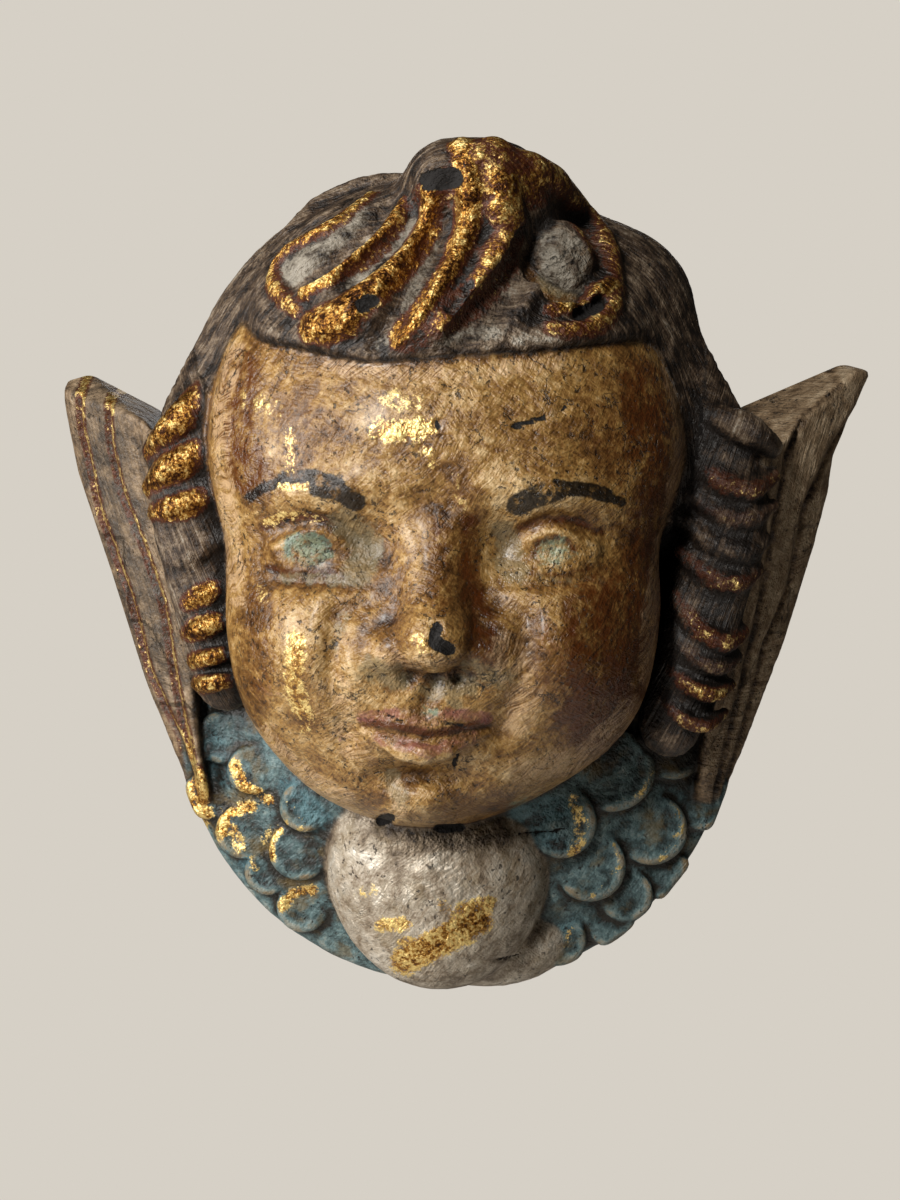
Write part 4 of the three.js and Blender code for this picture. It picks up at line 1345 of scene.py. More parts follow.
class Bench:
    """A node tree under construction, with short calls for the nodes that it takes."""

    def __init__(self, tree: bpy.types.NodeTree) -> None:
        """Starts on an empty or partly filled tree."""
        self.tree = tree

    def node(self, kind: str, feeds: dict | None = None, **settings: object) -> bpy.types.Node:
        """Adds a node.

        Args:
            kind: The node's type.
            feeds: Values or sockets for its inputs, by name or number.
            settings: Its own settings.

        Returns:
            The node.
        """
        made = self.tree.nodes.new(kind)
        for name, value in settings.items():
            setattr(made, name, value)
        for name, value in (feeds or {}).items():
            self.feed(made.inputs[name], value)
        return made

    def feed(self, socket: bpy.types.NodeSocket, value: object) -> None:
        """Links a socket to another, or sets its value.

        Args:
            socket: Socket to feed.
            value: A socket or a plain value.
        """
        if isinstance(value, bpy.types.NodeSocket):
            self.tree.links.new(value, socket)
        else:
            socket.default_value = value

    def math(self, way: str, a: object, b: object = 0.0) -> bpy.types.NodeSocket:
        """One step of arithmetic on numbers."""
        return self.node("ShaderNodeMath", {0: a, 1: b}, operation=way).outputs[0]

    def vector(self, way: str, a: object, b: object, c: object = (0, 0, 0)) -> bpy.types.NodeSocket:
        """One step of arithmetic on places."""
        return self.node("ShaderNodeVectorMath", {0: a, 1: b, 2: c}, operation=way).outputs[0]

    def in_millimetres(self, place: object) -> bpy.types.NodeSocket:
        """A place in metres, in millimetres."""
        return self.vector("MULTIPLY", place, (1 / MILLIMETRE,) * 3)

    def add(self, *values: object) -> bpy.types.NodeSocket:
        """Sum of several numbers.

        Args:
            values: Numbers or sockets.

        Returns:
            The sum.
        """
        total = values[0]
        for value in values[1:]:
            total = self.math("ADD", total, value)
        return total

    def times(self, *values: object) -> bpy.types.NodeSocket:
        """Product of several numbers.

        Args:
            values: Numbers or sockets.

        Returns:
            The product.
        """
        total = values[0]
        for value in values[1:]:
            total = self.math("MULTIPLY", total, value)
        return total

    def rest(self, value: object) -> bpy.types.NodeSocket:
        """What a share leaves of the whole."""
        return self.math("SUBTRACT", 1.0, value)

    def swing(self, noise: object, width: float) -> bpy.types.NodeSocket:
        """A noise made to swing about 0, by a width from end to end."""
        return self.times(self.add(noise, -0.5), width)

    def step(self, value: object, low: float, high: float, top: object = 1.0) -> bpy.types.NodeSocket:
        """Runs smoothly from 0 at low to top at high."""
        feeds = {"Value": value, "From Min": low, "From Max": high, "To Max": top}
        return self.node("ShaderNodeMapRange", feeds, interpolation_type="SMOOTHSTEP").outputs[0]

    def blend(self, share: object, under: object, over: object) -> bpy.types.NodeSocket:
        """Lays one colour over another.

        Args:
            share: Share of the upper colour.
            under: Lower colour.
            over: Upper colour.

        Returns:
            The colour socket.
        """
        made = self.node("ShaderNodeMix", data_type="RGBA")
        for number, value in ((0, share), (6, under), (7, over)):
            self.feed(made.inputs[number], value)
        return made.outputs[2]

    def noise(
        self, place: object, size: object, detail: float, rough: float, bend: float = 0.0
    ) -> bpy.types.NodeSocket:
        """Cloudy noise.

        Args:
            place: Place over the surface, in millimetres.
            size: Size of the largest lumps, in millimetres or as a socket.
            detail: Number of finer layers.
            rough: Share of each finer layer.
            bend: How much the noise bends itself.

        Returns:
            The noise, about 0.5 in the middle.
        """
        scale = self.math("DIVIDE", 1.0, size) if isinstance(size, bpy.types.NodeSocket) else 1 / size
        feeds = {"Vector": place, "Scale": scale, "Detail": detail, "Roughness": rough, "Distortion": bend}
        return self.node("ShaderNodeTexNoise", feeds).outputs[0]

    def stretched(self, place: object, turn: tuple, size: tuple) -> bpy.types.NodeSocket:
        """Places turned and measured in units of their own along each axis."""
        feeds = {"Vector": place, "Rotation": turn, "Scale": size}
        return self.node("ShaderNodeMapping", feeds, vector_type="TEXTURE").outputs[0]

    def mask(self, name: str) -> bpy.types.NodeSocket:
        """A mask that the mesh carries."""
        return self.node("ShaderNodeAttribute", attribute_name=name).outputs["Fac"]

    def use(self, tree: bpy.types.NodeTree, **feeds: object) -> bpy.types.NodeSocket:
        """Places a shared group, its inputs given by name, and gives its output."""
        return self.node("ShaderNodeGroup", feeds, node_tree=tree).outputs[0]

    def bump(self, height: object) -> bpy.types.NodeSocket:
        """Normals of a surface that stands out by a height in millimetres."""
        feeds = {"Height": height, "Distance": MILLIMETRE, "Strength": 1.0}
        return self.node("ShaderNodeBump", feeds).outputs[0]


def paint(red: int, green: int, blue: int) -> tuple:
    """A colour as mixed on a screen, from 0 to 255, made linear and opaque."""
    shares = (((v / 255 + 0.055) / 1.055) ** 2.4 if v > 10 else v / 3294 for v in (red, green, blue))
    return (*shares, 1.0)


def open_group(name: str, takes: dict, gives: dict) -> tuple:
    """Starts a shared shader group.

    Args:
        name: Name of the group.
        takes: Kinds of its inputs by name.
        gives: Kinds of its outputs by name.

    Returns:
        The bench for it, its input node and its output node.
    """
    tree = bpy.data.node_groups.new(name, "ShaderNodeTree")
    for kinds, way in ((takes, "INPUT"), (gives, "OUTPUT")):
        for key, kind in kinds.items():
            tree.interface.new_socket(name=key, in_out=way, socket_type=f"NodeSocket{kind}")
    bench = Bench(tree)
    return bench, bench.node("NodeGroupInput").outputs, bench.node("NodeGroupOutput").inputs


class Workshop:
    """Shader groups that the painted front and the bare back share."""

    def __init__(self) -> None:
        """Builds each group once."""
        self.patchy = self.make_patchy()
        self.pitted = self.make_pitted()
        self.scratched = self.make_scratched()
        self.cracked = self.make_cracked()

    def make_patchy(self) -> bpy.types.NodeTree:
        """A worn layer: covers fully where its amount is 1, and breaks up towards 0.

        Returns:
            The group.
        """
        takes = {"Vector": "Vector", "Amount": "Float", "Size": "Float", "Ragged": "Float", "Soft": "Float"}
        bench, given, result = open_group("worn_layer", takes, {"Mask": "Float"})
        cloud = bench.noise(given["Vector"], given["Size"], 7, 0.66)
        shift = bench.times(bench.math("SUBTRACT", cloud, 0.5), given["Ragged"], 2.0)
        level = bench.add(given["Amount"], shift, -0.5)
        span = bench.math("DIVIDE", level, given["Soft"])
        present = bench.step(given["Amount"], 0.02, 0.14)
        bench.feed(result["Mask"], bench.times(bench.step(span, -1.0, 1.0), present))
        return bench.tree

    def make_pitted(self) -> bpy.types.NodeTree:
        """Small dark pits and specks, gathered in clusters.

        Returns:
            The group.
        """
        bench, given, result = open_group("pits", {"Vector": "Vector", "Size": "Float"}, {"Mask": "Float"})
        fine = bench.noise(given["Vector"], given["Size"], 3, 0.6)
        cluster = bench.noise(given["Vector"], 14, 3, 0.6)
        bench.feed(result["Mask"], bench.step(bench.add(fine, bench.times(cluster, 0.35)), 0.80, 0.88))
        return bench.tree

    def make_scratched(self) -> bpy.types.NodeTree:
        """Fine brush lines and scratches that run one way, with breaks.

        Returns:
            The group.
        """
        takes = {"Vector": "Vector", "Rotation": "Vector", "Width": "Float"}
        bench, given, result = open_group("brush_lines", takes, {"Value": "Float"})
        size = bench.node("ShaderNodeCombineXYZ", {0: 8.0, 1: 8.0, 2: given["Width"]}).outputs[0]
        feeds = {"Vector": given["Vector"], "Scale": 1 / 26, "Detail": 3.0}
        sway = bench.node("ShaderNodeTexNoise", feeds).outputs["Color"]
        bent = bench.vector("MULTIPLY_ADD", sway, (15, 15, 15), given["Vector"])
        place = bench.stretched(bent, given["Rotation"], size)
        bench.feed(result["Value"], bench.noise(place, 1.0, 2, 0.6))
        return bench.tree

    def make_cracked(self) -> bpy.types.NodeTree:
        """Hairline cracks that wander, open in some places and closed in others.

        Returns:
            The group.
        """
        takes = {"Vector": "Vector", "Size": "Float", "Width": "Float"}
        bench, given, result = open_group("hairlines", takes, {"Mask": "Float"})
        cloud = bench.noise(given["Vector"], given["Size"], 5, 0.55)
        off = bench.math("ABSOLUTE", bench.math("SUBTRACT", cloud, 0.5))
        open_here = bench.step(bench.noise(given["Vector"], 11, 4, 0.6), 0.5, 0.62)
        near = bench.math("DIVIDE", off, given["Width"])
        bench.feed(result["Mask"], bench.times(bench.step(near, 1.0, 0.3), open_here))
        return bench.tree


class PaintBench(Bench):
    """The bench of the painted front, with its masks, noises and worn layers at hand."""

    # Size in millimetres, number of finer layers, share of each, bend.
    NOISES = {
        "mottle": (5.0, 9, 0.74, 0.2),
        "cloud": (9.0, 7, 0.62, 0.3),
        "broad_cloud": (28.0, 5, 0.55),
        "fine_cloud": (1.8, 6, 0.7),
        "dust": (0.7, 3, 0.7),
    }
    MASKS = ("skin", "wing", "scale", "breast", "hair", "fine", "broad", "groove", "hollow")

    def __init__(self, tree: bpy.types.NodeTree, shop: Workshop) -> None:
        """Reads the masks that the mesh carries and makes the noises that the colours share.

        Args:
            tree: The material's tree.
            shop: Holds the shared groups.
        """
        super().__init__(tree)
        self.shop = shop
        self.place = self.in_millimetres(self.node("ShaderNodeTexCoord").outputs["Object"])
        self.marks = {name: self.mask(name) for name in (*(layer.value for layer in Layer), *self.MASKS)}
        for name, settings in self.NOISES.items():
            self.marks[name] = self.noise(self.place, *settings)
        grain = self.node("ShaderNodeAttribute", attribute_name="grain").outputs["Vector"]
        strands = self.stretched(grain, (0, 0, 0), (1.3, 16, 1))
        self.marks["strands"] = self.noise(strands, 1.0, 3, 0.66, 0.5)
        lines = {"Vector": self.place, "Rotation": (0, 0.6, 0.2), "Width": 0.5}
        self.marks["lines_a"] = self.use(shop.scratched, **lines)
        lines = {"Vector": self.place, "Rotation": (0, -0.9, 0.3), "Width": 0.42}
        self.marks["lines_b"] = self.use(shop.scratched, **lines)
        self.marks["cracks"] = self.use(shop.cracked, Vector=self.place, Size=7.0, Width=0.014)
        self.marks["pits"] = self.use(shop.pitted, Vector=self.place, Size=1.3)

    def patch(self, layer: Layer, size: float, ragged: float, soft: float = 0.2) -> bpy.types.NodeSocket:
        """Cover of a layer, laid along its listed strokes.

        Args:
            layer: The layer.
            size: Size of the lumps of its edge.
            ragged: How far its edge strays.
            soft: Width of its edge.

        Returns:
            The cover, from 0 to 1.
        """
        feeds = {"Vector": self.place, "Amount": self.marks[layer.value], "Size": size}
        return self.use(self.shop.patchy, **feeds, Ragged=ragged, Soft=soft)

    def ramped(self, name: str, low: float, high: float, top: float = 1.0) -> bpy.types.NodeSocket:
        """A mask or noise run smoothly from 0 at low to top at high."""
        return self.step(self.marks[name], low, high, top)

    def level(self, *parts: object, steady: float = 0.0, **shares: float) -> bpy.types.NodeSocket:
        """Level of tone over a region: wear, with painted shade and painted highlight where hollow and
        relief shares are given.

        Args:
            parts: Levels already worked out.
            steady: A share that is the same all over.
            shares: How much each mask adds, by name.

        Returns:
            The sum.
        """
        added = [self.times(self.marks[name], share) for name, share in shares.items()]
        return self.add(*parts, *added, steady)

    def read(self, run: tuple, level: object) -> bpy.types.NodeSocket:
        """Reads a run of colours at a level of tone.

        Args:
            run: Four levels, and the colour at each.
            level: The level over the surface.

        Returns:
            The colour.
        """
        node = self.node("ShaderNodeValToRGB", {"Fac": level})
        stops = node.color_ramp.elements
        levels, *colours = run
        for at in levels[2:]:
            stops.new(at)
        for stop, at, colour in zip(stops, levels, colours):
            stop.position = at
            stop.color = paint(*colour)
        return node.outputs["Color"]


@dataclass(frozen=True)
class AgedPaint:
    """The painted and gilded front under its old varnish, sizes in millimetres.

    Each region's paint is a run of colours from its darkest to its palest, read at a level of wear, painted
    shade and painted highlight.
    """

    name: str = "painted_ceramic"
    skin: tuple = ((0.31, 0.43, 0.53, 0.67), (50, 28, 10), (116, 80, 38), (164, 126, 70), (216, 186, 138))
    hair: tuple = ((0.34, 0.46, 0.57, 0.74), (24, 16, 10), (72, 56, 42), (124, 106, 86), (180, 172, 158))
    wing: tuple = ((0.32, 0.45, 0.57, 0.72), (48, 34, 22), (104, 84, 62), (148, 124, 96), (194, 172, 142))
    scale: tuple = ((0.32, 0.44, 0.56, 0.7), (30, 28, 22), (58, 76, 78), (98, 122, 124), (152, 158, 150))
    breast: tuple = (
        (0.32, 0.43, 0.53, 0.68), (64, 50, 36), (134, 118, 98), (188, 176, 158), (236, 230, 218)
    )
    leaf: tuple = ((0.36, 0.46, 0.56, 0.68), (52, 26, 8), (120, 74, 28), (190, 138, 60), (250, 220, 144))
    # Dark brown of the patches, partly painted shade where the strokes cover the right side of the face.
    rust: tuple = paint(88, 43, 9)
    blush: tuple = paint(208, 174, 136)
    ash: tuple = paint(134, 122, 92)
    silver: tuple = paint(158, 150, 136)
    soot: tuple = paint(84, 74, 60)
    rim: tuple = paint(130, 104, 62)
    olive: tuple = paint(112, 92, 50)
    rose: tuple = paint(138, 82, 78)
    jade: tuple = paint(108, 138, 120)
    sky: tuple = paint(84, 124, 134)
    # Near-black paint of the brows, specks and cracks, also used as painted shade in the hollows.
    ink: tuple = paint(16, 10, 6)
    lacquer: tuple = paint(84, 38, 14)
    clay: tuple = paint(22, 18, 16)
    coat_roughness: float = 0.22

    def face(self, b: PaintBench) -> bpy.types.NodeSocket:
        """Colour of the face, with painted shade in its creases and over its right side.

        Args:
            b: Bench that holds the material's masks and noises.

        Returns:
            The colour socket.
        """
        # The hollow share darkens the creases and the broad share lightens the rises: painted shade and
        # painted highlight. The brown share darkens the brown patches, partly as painted shade.
        level = b.level(
            b.swing(b.marks["mottle"], 0.6),
            b.swing(b.marks["fine_cloud"], 0.36),
            b.swing(b.marks["broad_cloud"], 0.42),
            b.swing(b.marks["lines_a"], 0.15),
            b.swing(b.marks["lines_b"], 0.14),
            steady=0.5,
            pale=0.06,
            brown=-0.15,
            hollow=-0.2,
            broad=0.03,
        )
        colour = b.read(self.skin, level)
        for cover, share, over in (
            # Brown patches, partly painted shade over the right side of the face.
            (b.patch(Layer.BROWN, 5.0, 0.8), b.ramped("mottle", 0.66, 0.4, 0.9), self.rust),
            (b.patch(Layer.PALE, 3.2, 0.8), b.ramped("lines_b", 0.36, 0.6, 0.65), self.blush),
            (b.patch(Layer.GREY, 2.4, 0.9), 0.6, self.ash),
            (b.patch(Layer.PINK, 1.8, 0.8), b.ramped("mottle", 0.36, 0.6, 0.8), self.rose),
            (b.patch(Layer.TEAL, 2.0, 0.95), b.ramped("mottle", 0.4, 0.56, 0.7), self.jade),
            (b.patch(Layer.BROW, 1.5, 0.5), b.ramped("mottle", 0.34, 0.48, 0.96), self.ink),
            (b.ramped("dust", 0.43, 0.33), b.ramped("cloud", 0.42, 0.58, 0.75), self.ink),
            (b.marks["cracks"], 0.8, self.ink),
        ):
            colour = b.blend(b.times(cover, share), colour, over)
        return colour

    def locks(self, b: PaintBench) -> bpy.types.NodeSocket:
        """Colour of the hair under its gilding.

        Args:
            b: Bench that holds the material's masks and noises.

        Returns:
            The colour socket.
        """
        level = b.add(b.marks["mottle"], b.swing(b.marks["strands"], 0.5))
        # The hollow share darkens the hollows and the fine share lightens the ridges: painted shade and
        # painted highlight.
        level = b.level(level, steady=-0.03, rough=0.13, hollow=-0.26, fine=0.1, brown=-0.1)
        dusty = b.times(b.patch(Layer.GREY, 2.0, 0.9), b.ramped("mottle", 0.34, 0.52, 0.9))
        dust = b.blend(b.ramped("mottle", 0.38, 0.6), self.soot, self.silver)
        return b.blend(dusty, b.read(self.hair, level), dust)

    def feathers(self, b: PaintBench) -> bpy.types.NodeSocket:
        """Colour of the wings.

        Args:
            b: Bench that holds the material's masks and noises.

        Returns:
            The colour socket.
        """
        strands = b.swing(b.marks["strands"], 0.24)
        # Darker along the grooves between the feathers and in the hollows: partly dark joints, partly
        # painted shade in the creases.
        grooves = b.times(b.marks["groove"], b.add(b.times(b.marks["fine_cloud"], -0.6), 0.16))
        level = b.level(b.marks["mottle"], strands, grooves, hollow=-0.2, pale=0.13, brown=-0.14)
        return b.blend(b.times(b.marks["grey"], 0.22), b.read(self.wing, level), self.silver)

    def scales(self, b: PaintBench) -> bpy.types.NodeSocket:
        """Colour of the scales.

        Args:
            b: Bench that holds the material's masks and noises.

        Returns:
            The colour socket.
        """
        broad = b.swing(b.marks["broad_cloud"], 0.3)
        # The fine share lightens the rims and darkens the gaps between scales, and the hollow share darkens
        # the hollows: painted highlight and painted shade.
        level = b.level(b.marks["mottle"], broad, steady=0.02, fine=0.5, hollow=-0.3)
        olive = b.times(b.ramped("cloud", 0.5, 0.64, 0.55), b.ramped("teal", 0.5, 0.1))
        colour = b.blend(olive, b.read(self.scale, level), self.olive)
        fresh = b.blend(b.ramped("mottle", 0.36, 0.56), self.clay, self.sky)
        colour = b.blend(b.times(b.patch(Layer.TEAL, 4.0, 0.7), 0.6), colour, fresh)
        worn = b.times(b.ramped("fine", 0.12, 0.42), b.ramped("mottle", 0.42, 0.56, 0.85))
        return b.blend(worn, colour, self.rim)

    def chest(self, b: PaintBench) -> bpy.types.NodeSocket:
        """Colour of the breast.

        Args:
            b: Bench that holds the material's masks and noises.

        Returns:
            The colour socket.
        """
        swings = b.add(b.swing(b.marks["broad_cloud"], 0.4), b.swing(b.marks["lines_b"], 0.12))
        # The hollow share darkens the hollows: painted shade.
        level = b.level(swings, steady=0.13, mottle=0.75, hollow=-0.22, rough=-0.08)
        return b.blend(b.ramped("cloud", 0.5, 0.66, 0.35), b.read(self.breast, level), self.olive)

    def paints(self, b: PaintBench) -> bpy.types.NodeSocket:
        """Colour of all the regions, with painted shade in their hollows and dark dirt in their pits.

        Args:
            b: Bench that holds the material's masks and noises.

        Returns:
            The colour socket.
        """
        colour = self.locks(b)
        for region, own in (
            ("wing", self.feathers(b)),
            ("scale", self.scales(b)),
            ("breast", self.chest(b)),
            ("skin", self.face(b)),
        ):
            colour = b.blend(b.marks[region], colour, own)
        # Painted shade: the colour darkens towards near-black where the air in front of the surface is
        # closed off.
        colour = b.blend(b.ramped("hollow", 0.4, 1.0, 0.45), colour, self.ink)
        return b.blend(b.times(b.marks["pits"], 0.8), colour, self.ink)

    def gilding(self, b: PaintBench) -> tuple:
        """Works out the worn gold leaf.

        Args:
            b: The material's bench.

        Returns:
            The cover of the leaf, that of the lacquer which shows around it, and the leaf's colour.
        """
        flaking = b.level(
            b.marks["gold"],
            b.swing(b.marks["mottle"], 1.2),
            b.swing(b.marks["fine_cloud"], 1.5),
            b.swing(b.marks["dust"], 1.2),
            fine=0.8,
            hollow=-0.9,
        )
        glint = b.level(
            b.swing(b.marks["fine_cloud"], 0.9),
            b.swing(b.marks["dust"], 0.8),
            b.times(b.rest(b.marks["hair"]), 0.12),
            mottle=0.95,
            fine=0.12,
        )
        present = b.ramped("gold", 0.04, 0.2)
        gold = b.times(b.step(flaking, 0.42, 0.72), present)
        ring = b.times(b.step(flaking, -0.1, 0.35), present, b.add(b.marks["hair"], b.marks["wing"]))
        return gold, ring, b.read(self.leaf, glint)

    def relief(self, b: PaintBench, chip: bpy.types.NodeSocket) -> bpy.types.NodeSocket:
        """Height of the finest relief, in millimetres, with the chips sunk.

        Args:
            b: Bench that holds the material's masks and noises.
            chip: Amount of chipped paint.

        Returns:
            The height socket.
        """
        crust = b.noise(b.place, 1.1, 2, 0.5)
        return b.level(
            b.noise(b.place, 3.6, 3, 0.62),
            b.times(b.noise(b.place, 13, 2, 0.5), 1.2),
            b.times(crust, b.add(0.28, b.times(b.marks["rough"], 1.1))),
            b.times(chip, -0.4),
            b.times(b.marks["strands"], b.add(b.marks["hair"], b.marks["wing"]), 0.7),
            lines_a=0.2,
            lines_b=0.2,
            cracks=-0.12,
            pits=-0.25,
        )

    def material(self, shop: Workshop) -> bpy.types.Material:
        """Builds the material.

        Args:
            shop: The shared groups.

        Returns:
            The material.
        """
        made = bpy.data.materials.new(self.name)
        made.use_nodes = True
        made.node_tree.nodes.clear()
        b = PaintBench(made.node_tree, shop)
        skin = b.marks["skin"]
        gold, ring, leaf = self.gilding(b)
        chip = b.patch(Layer.CHIP, 2.2, 0.6, 0.08)
        bare = b.rest(chip)
        colour = b.blend(b.times(ring, 0.9), self.paints(b), self.lacquer)
        colour = b.blend(gold, colour, leaf)
        colour = b.blend(chip, colour, self.clay)
        silvered = b.times(b.marks["breast"], b.ramped("mottle", 0.46, 0.6, 0.6))
        metal = b.math("MAXIMUM", b.math("MAXIMUM", gold, silvered), b.times(ring, 0.35))
        rough = b.level(
            b.times(chip, 0.4),
            b.times(gold, -0.06),
            b.times(b.rest(skin), 0.14),
            steady=0.18,
            fine_cloud=0.34,
            rough=0.2,
        )
        varnish = b.times(b.ramped("cloud", 0.3, 0.62, 0.25), bare, b.add(0.15, b.times(skin, 0.85)))
        shader = b.node(
            "ShaderNodeBsdfPrincipled",
            {
                "Base Color": colour,
                "Metallic": b.times(metal, bare, b.add(0.85, b.times(skin, -0.35))),
                "Roughness": rough,
                "Coat Weight": varnish,
                "Coat Roughness": self.coat_roughness,
                "Normal": b.bump(self.relief(b, chip)),
            },
        )
        b.feed(b.node("ShaderNodeOutputMaterial").inputs[0], shader.outputs[0])
        return made


@dataclass(frozen=True)
class BareClay:
    """The unpainted flat back: smoothed fired clay with dust and a few scratches."""

    name: str = "bare_clay"
    light: tuple = paint(176, 134, 100)
    dark: tuple = paint(128, 88, 62)
    dust: tuple = paint(204, 184, 160)

    def material(self, shop: Workshop) -> bpy.types.Material:
        """Builds the material from the shared groups.

        Args:
            shop: Holds the shared groups.

        Returns:
            The material.
        """
        made = bpy.data.materials.new(self.name)
        made.use_nodes = True
        made.node_tree.nodes.clear()
        b = Bench(made.node_tree)
        place = b.in_millimetres(b.node("ShaderNodeTexCoord").outputs["Object"])
        cloud = b.noise(place, 22, 7, 0.6, 0.4)
        lines = b.use(shop.scratched, Vector=place, Rotation=(0, 0.4, 0), Width=0.8)
        pits = b.use(shop.pitted, Vector=place, Size=1.8)
        dusty = b.use(shop.patchy, Vector=place, Amount=0.35, Size=18.0, Ragged=0.9, Soft=0.5)
        colour = b.blend(b.step(cloud, 0.35, 0.65), self.light, self.dark)
        colour = b.blend(b.times(dusty, 0.5), colour, self.dust)
        colour = b.blend(b.step(lines, 0.56, 0.7, 0.5), colour, self.dust)
        colour = b.blend(b.times(pits, 0.7), colour, self.dark)
        height = b.add(b.times(cloud, 1.2), b.times(lines, 0.2), b.times(pits, -0.4))
        shader = b.node(
            "ShaderNodeBsdfPrincipled",
            {
                "Base Color": colour,
                "Roughness": b.add(0.72, b.times(cloud, 0.2)),
                "Normal": b.bump(height),
            },
        )
        b.feed(b.node("ShaderNodeOutputMaterial").inputs[0], shader.outputs[0])
        return made


@dataclass
class ToolMarks:
    """Strokes of the modelling tools that follow the hair and the wings, as real relief, in millimetres."""

    # The strip beside the wall that the tools leave alone.
    WALL_STRIP = 0.4

    strand_depth: float = 0.6
    strand_width: float = 1.9
    lump_height: float = 0.35
    lump_size: float = 7.0
    crumb_height: float = 1.1
    crumb_size: float = 2.6
    chip_depth: float = 0.7
    seed: float = 3.0

    def sizes(self) -> dict:
        """The tree's numbers by the names of its inputs."""
        return {name.replace("_", " ").title(): value for name, value in vars(self).items()}

    def tree(self, front: bpy.types.Material, back: bpy.types.Material) -> bpy.types.NodeTree:
        """Builds the geometry tree.

        Args:
            front: Material of the front.
            back: Material of the flat back.

        Returns:
            The tree, with its sizes in millimetres as inputs.
        """
        tree = bpy.data.node_groups.new("tool_marks", "GeometryNodeTree")
        tree.interface.new_socket(name="Geometry", in_out="INPUT", socket_type="NodeSocketGeometry")
        for name in self.sizes():
            tree.interface.new_socket(name=name, in_out="INPUT", socket_type="NodeSocketFloat")
        tree.interface.new_socket(name="Geometry", in_out="OUTPUT", socket_type="NodeSocketGeometry")
        b = Bench(tree)
        given = b.node("NodeGroupInput").outputs

        def carried(name: str, kind: str = "FLOAT") -> bpy.types.NodeSocket:
            """An attribute of the mesh."""
            return b.node("GeometryNodeInputNamedAttribute", {"Name": name}, data_type=kind).outputs[0]

        def cloud(place: object, size: object, detail: float) -> bpy.types.NodeSocket:
            """Noise that swings about 0.

            Args:
                place: Where it is read.
                size: Size of its features.
                detail: How fine its detail is.

            Returns:
                The noise socket.
            """
            scale = b.math("DIVIDE", 1.0, size)
            feeds = {"Vector": place, "W": given["Seed"], "Scale": scale, "Detail": detail}
            made = b.node("ShaderNodeTexNoise", feeds, noise_dimensions="4D")
            return b.math("SUBTRACT", made.outputs[0], 0.5)

        along = b.vector("MULTIPLY", carried("grain", "FLOAT_VECTOR"), (1, 0.09, 1))
        at = b.node("GeometryNodeInputPosition").outputs[0]
        place = b.in_millimetres(at)
        locks = b.add(carried("hair"), b.times(carried("wing"), 0.5), b.times(carried("breast"), 0.3))
        locks = b.times(locks, b.rest(b.math("MINIMUM", carried("gold"), 0.8)))
        strands = b.times(cloud(along, given["Strand Width"], 2.0), locks, given["Strand Depth"], 2.0)
        lumps = b.times(cloud(place, given["Lump Size"], 3.0), given["Lump Height"], 2.0)
        lumps = b.times(lumps, b.rest(b.times(carried("skin"), 0.45)))
        crumbs = b.times(cloud(place, given["Crumb Size"], 3.0), carried("rough"))
        crumbs = b.times(crumbs, given["Crumb Height"], 2.0)
        chips = b.times(b.step(carried("chip"), 0.35, 0.75), given["Chip Depth"], -1.0)
        lift = b.times(b.add(strands, lumps, crumbs, chips), MILLIMETRE)
        normal = b.node("GeometryNodeInputNormal").outputs[0]
        offset = b.node("ShaderNodeVectorMath", {0: normal, "Scale": lift}, operation="SCALE").outputs[0]
        y = b.node("ShaderNodeSeparateXYZ", {0: at}).outputs[1]
        off_wall = b.math("LESS_THAN", y, -self.WALL_STRIP * MILLIMETRE)
        feeds = {"Geometry": given["Geometry"], "Selection": off_wall, "Offset": offset}
        shape = b.node("GeometryNodeSetPosition", feeds).outputs[0]
        shape = b.node("GeometryNodeRealizeInstances", {"Geometry": shape}).outputs[0]
        shape = b.node("GeometryNodeSetMaterial", {"Geometry": shape, "Material": front}).outputs[0]
        feeds = {"Geometry": shape, "Selection": carried("back", "BOOLEAN"), "Material": back}
        shape = b.node("GeometryNodeSetMaterial", feeds).outputs[0]
        b.feed(b.node("NodeGroupOutput").inputs[0], shape)
        return tree

    def cut(self, piece: bpy.types.Object, tree: bpy.types.NodeTree) -> None:
        """Runs the tree on a piece and keeps the result as its plain mesh.

        Args:
            piece: The piece.
            tree: The geometry tree.
        """
        modifier = piece.modifiers.new("tool_marks", "NODES")
        modifier.node_group = tree
        values = self.sizes()
        for item in tree.interface.items_tree:
            if item.in_out == "INPUT" and item.name in values:
                modifier[item.identifier] = values[item.name]
        bpy.context.view_layer.update()
        evaluated = piece.evaluated_get(bpy.context.evaluated_depsgraph_get())
        carved = bpy.data.meshes.new_from_object(evaluated)
        piece.modifiers.remove(modifier)
        piece.data = carved


@dataclass
class AngelHead:
    """The whole piece: face, hair, wings, collar and breast in one body."""

    name: str = "angel_head"
    carving: Carving = field(default_factory=Carving)
    front: AgedPaint = field(default_factory=AgedPaint)
    back: BareClay = field(default_factory=BareClay)
    marks: ToolMarks = field(default_factory=ToolMarks)

    def build(self) -> bpy.types.Object:
        """Makes the carved, marked and painted piece.

        Returns:
            The finished object.
        """
        shell = Shell(self.carving)
        shell.build()
        LOG.info("%s: shell of %d points", self.name, len(shell.points))
        coats = Paint(self.carving)
        coats.lay(shell)
        mesh = shell.mesh(self.name)
        coats.mark(mesh)
        piece = bpy.data.objects.new(self.name, mesh)
        bpy.context.scene.collection.objects.link(piece)
        shop = Workshop()
        tree = self.marks.tree(self.front.material(shop), self.back.material(shop))
        self.marks.cut(piece, tree)
        return piece

    def seat(self, piece: bpy.types.Object) -> None:
        """Puts the piece in the place of its solid.

        Args:
            piece: The finished piece.
        """
        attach(piece, "root")
        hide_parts("cherub_head")


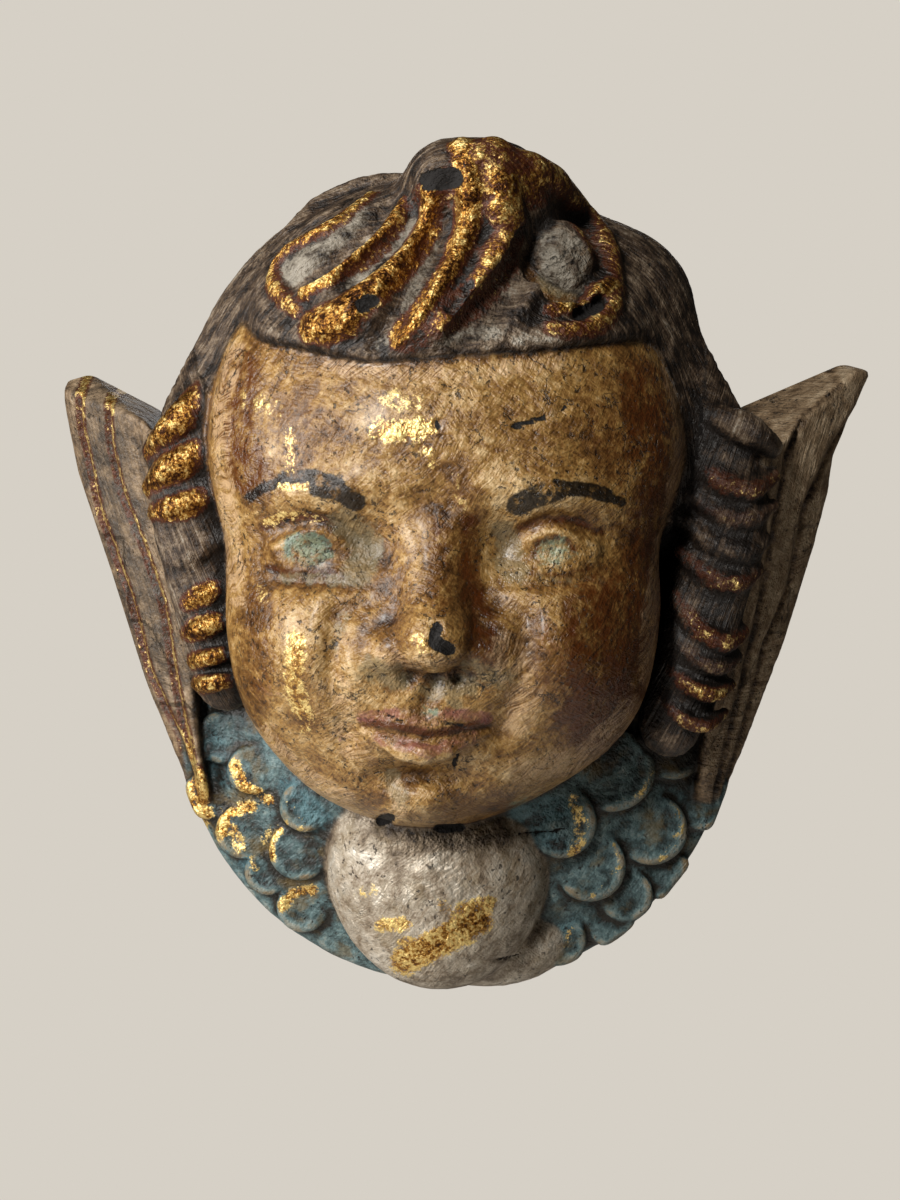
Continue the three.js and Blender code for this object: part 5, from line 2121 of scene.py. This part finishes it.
@dataclass
class Studio:
    """A plain pale floor, soft lights and the camera at the photograph's angle, in metres."""

    floor_level: float = -0.8
    floor_size: float = 2.4
    eye_distance: float = 0.52
    lens: float = 62.4
    # Colour and strength of the room as it lights the piece, and as it is seen.
    glow: tuple = (paint(206, 198, 186), 0.045)
    backdrop: tuple = (paint(214, 208, 198), 1.0)
    lights: tuple = (
        ("window", (-1.3, -0.62, 0.2), (0.5, 0.9), 20.0, (1.0, 0.98, 0.95)),
        ("ceiling", (-0.42, -1.0, 0.5), (0.13, 0.3), 10.5, (1.0, 0.98, 0.94)),
        ("behind", (0.0, 1.5, 0.3), (0.8, 0.8), 5.0, (1.0, 0.98, 0.96)),
    )

    def floor(self) -> bpy.types.Object:
        """Makes the floor.

        Returns:
            The floor.
        """
        half = self.floor_size / 2
        corners = [(-half, -half), (half, -half), (half, half), (-half, half)]
        mesh = bpy.data.meshes.new("floor")
        mesh.from_pydata([(x, y, self.floor_level) for x, y in corners], [], [(0, 1, 2, 3)])
        made = bpy.data.materials.new("pale_floor")
        made.use_nodes = True
        shader = made.node_tree.nodes["Principled BSDF"]
        shader.inputs["Base Color"].default_value = paint(222, 216, 208)
        shader.inputs["Roughness"].default_value = 0.9
        mesh.materials.append(made)
        piece = bpy.data.objects.new("floor", mesh)
        bpy.context.scene.collection.objects.link(piece)
        return piece

    def light(self) -> None:
        """Hangs the lights and makes the pale surroundings."""
        for name, place, size, power, tint in self.lights:
            lamp = bpy.data.lights.new(name, "AREA")
            lamp.shape = "RECTANGLE"
            lamp.size, lamp.size_y = size
            lamp.energy = power
            lamp.color = tint
            made = bpy.data.objects.new(name, lamp)
            made.location = place
            made.rotation_euler = (-Vector(place)).to_track_quat("-Z", "Y").to_euler()
            bpy.context.scene.collection.objects.link(made)
        world = bpy.data.worlds.new("room")
        world.use_nodes = True
        world.node_tree.nodes.clear()
        b = Bench(world.node_tree)
        seen = b.node("ShaderNodeLightPath").outputs["Is Camera Ray"]
        dim, pale = (
            b.node("ShaderNodeBackground", {"Color": colour, "Strength": strength}).outputs[0]
            for colour, strength in (self.glow, self.backdrop)
        )
        mixed = b.node("ShaderNodeMixShader", {0: seen, 1: dim, 2: pale}).outputs[0]
        b.feed(b.node("ShaderNodeOutputWorld").inputs[0], mixed)
        bpy.context.scene.world = world

    def camera(self) -> bpy.types.Object:
        """Puts the camera straight in front, level with the middle of the face.

        Returns:
            The camera.
        """
        view = bpy.data.cameras.new("front")
        view.lens = self.lens
        view.sensor_width = 36
        view.clip_start = 0.01
        made = bpy.data.objects.new("front", view)
        made.location = (0, -self.eye_distance, 0)
        made.rotation_euler = (np.pi / 2, 0, 0)
        bpy.context.scene.collection.objects.link(made)
        bpy.context.scene.camera = made
        return made


def main() -> None:
    """Builds the studio and the head, and reports what was made."""
    logging.basicConfig(level=logging.INFO, format="%(message)s")
    studio = Studio()
    studio.floor()
    studio.light()
    studio.camera()
    bpy.context.scene.view_settings.view_transform = "Standard"
    head = AngelHead()
    piece = head.build()
    head.seat(piece)
    mesh = piece.data
    LOG.info("%s: %d faces, %d materials", piece.name, len(mesh.polygons), len(mesh.materials))


if __name__ == "__main__":
    main()
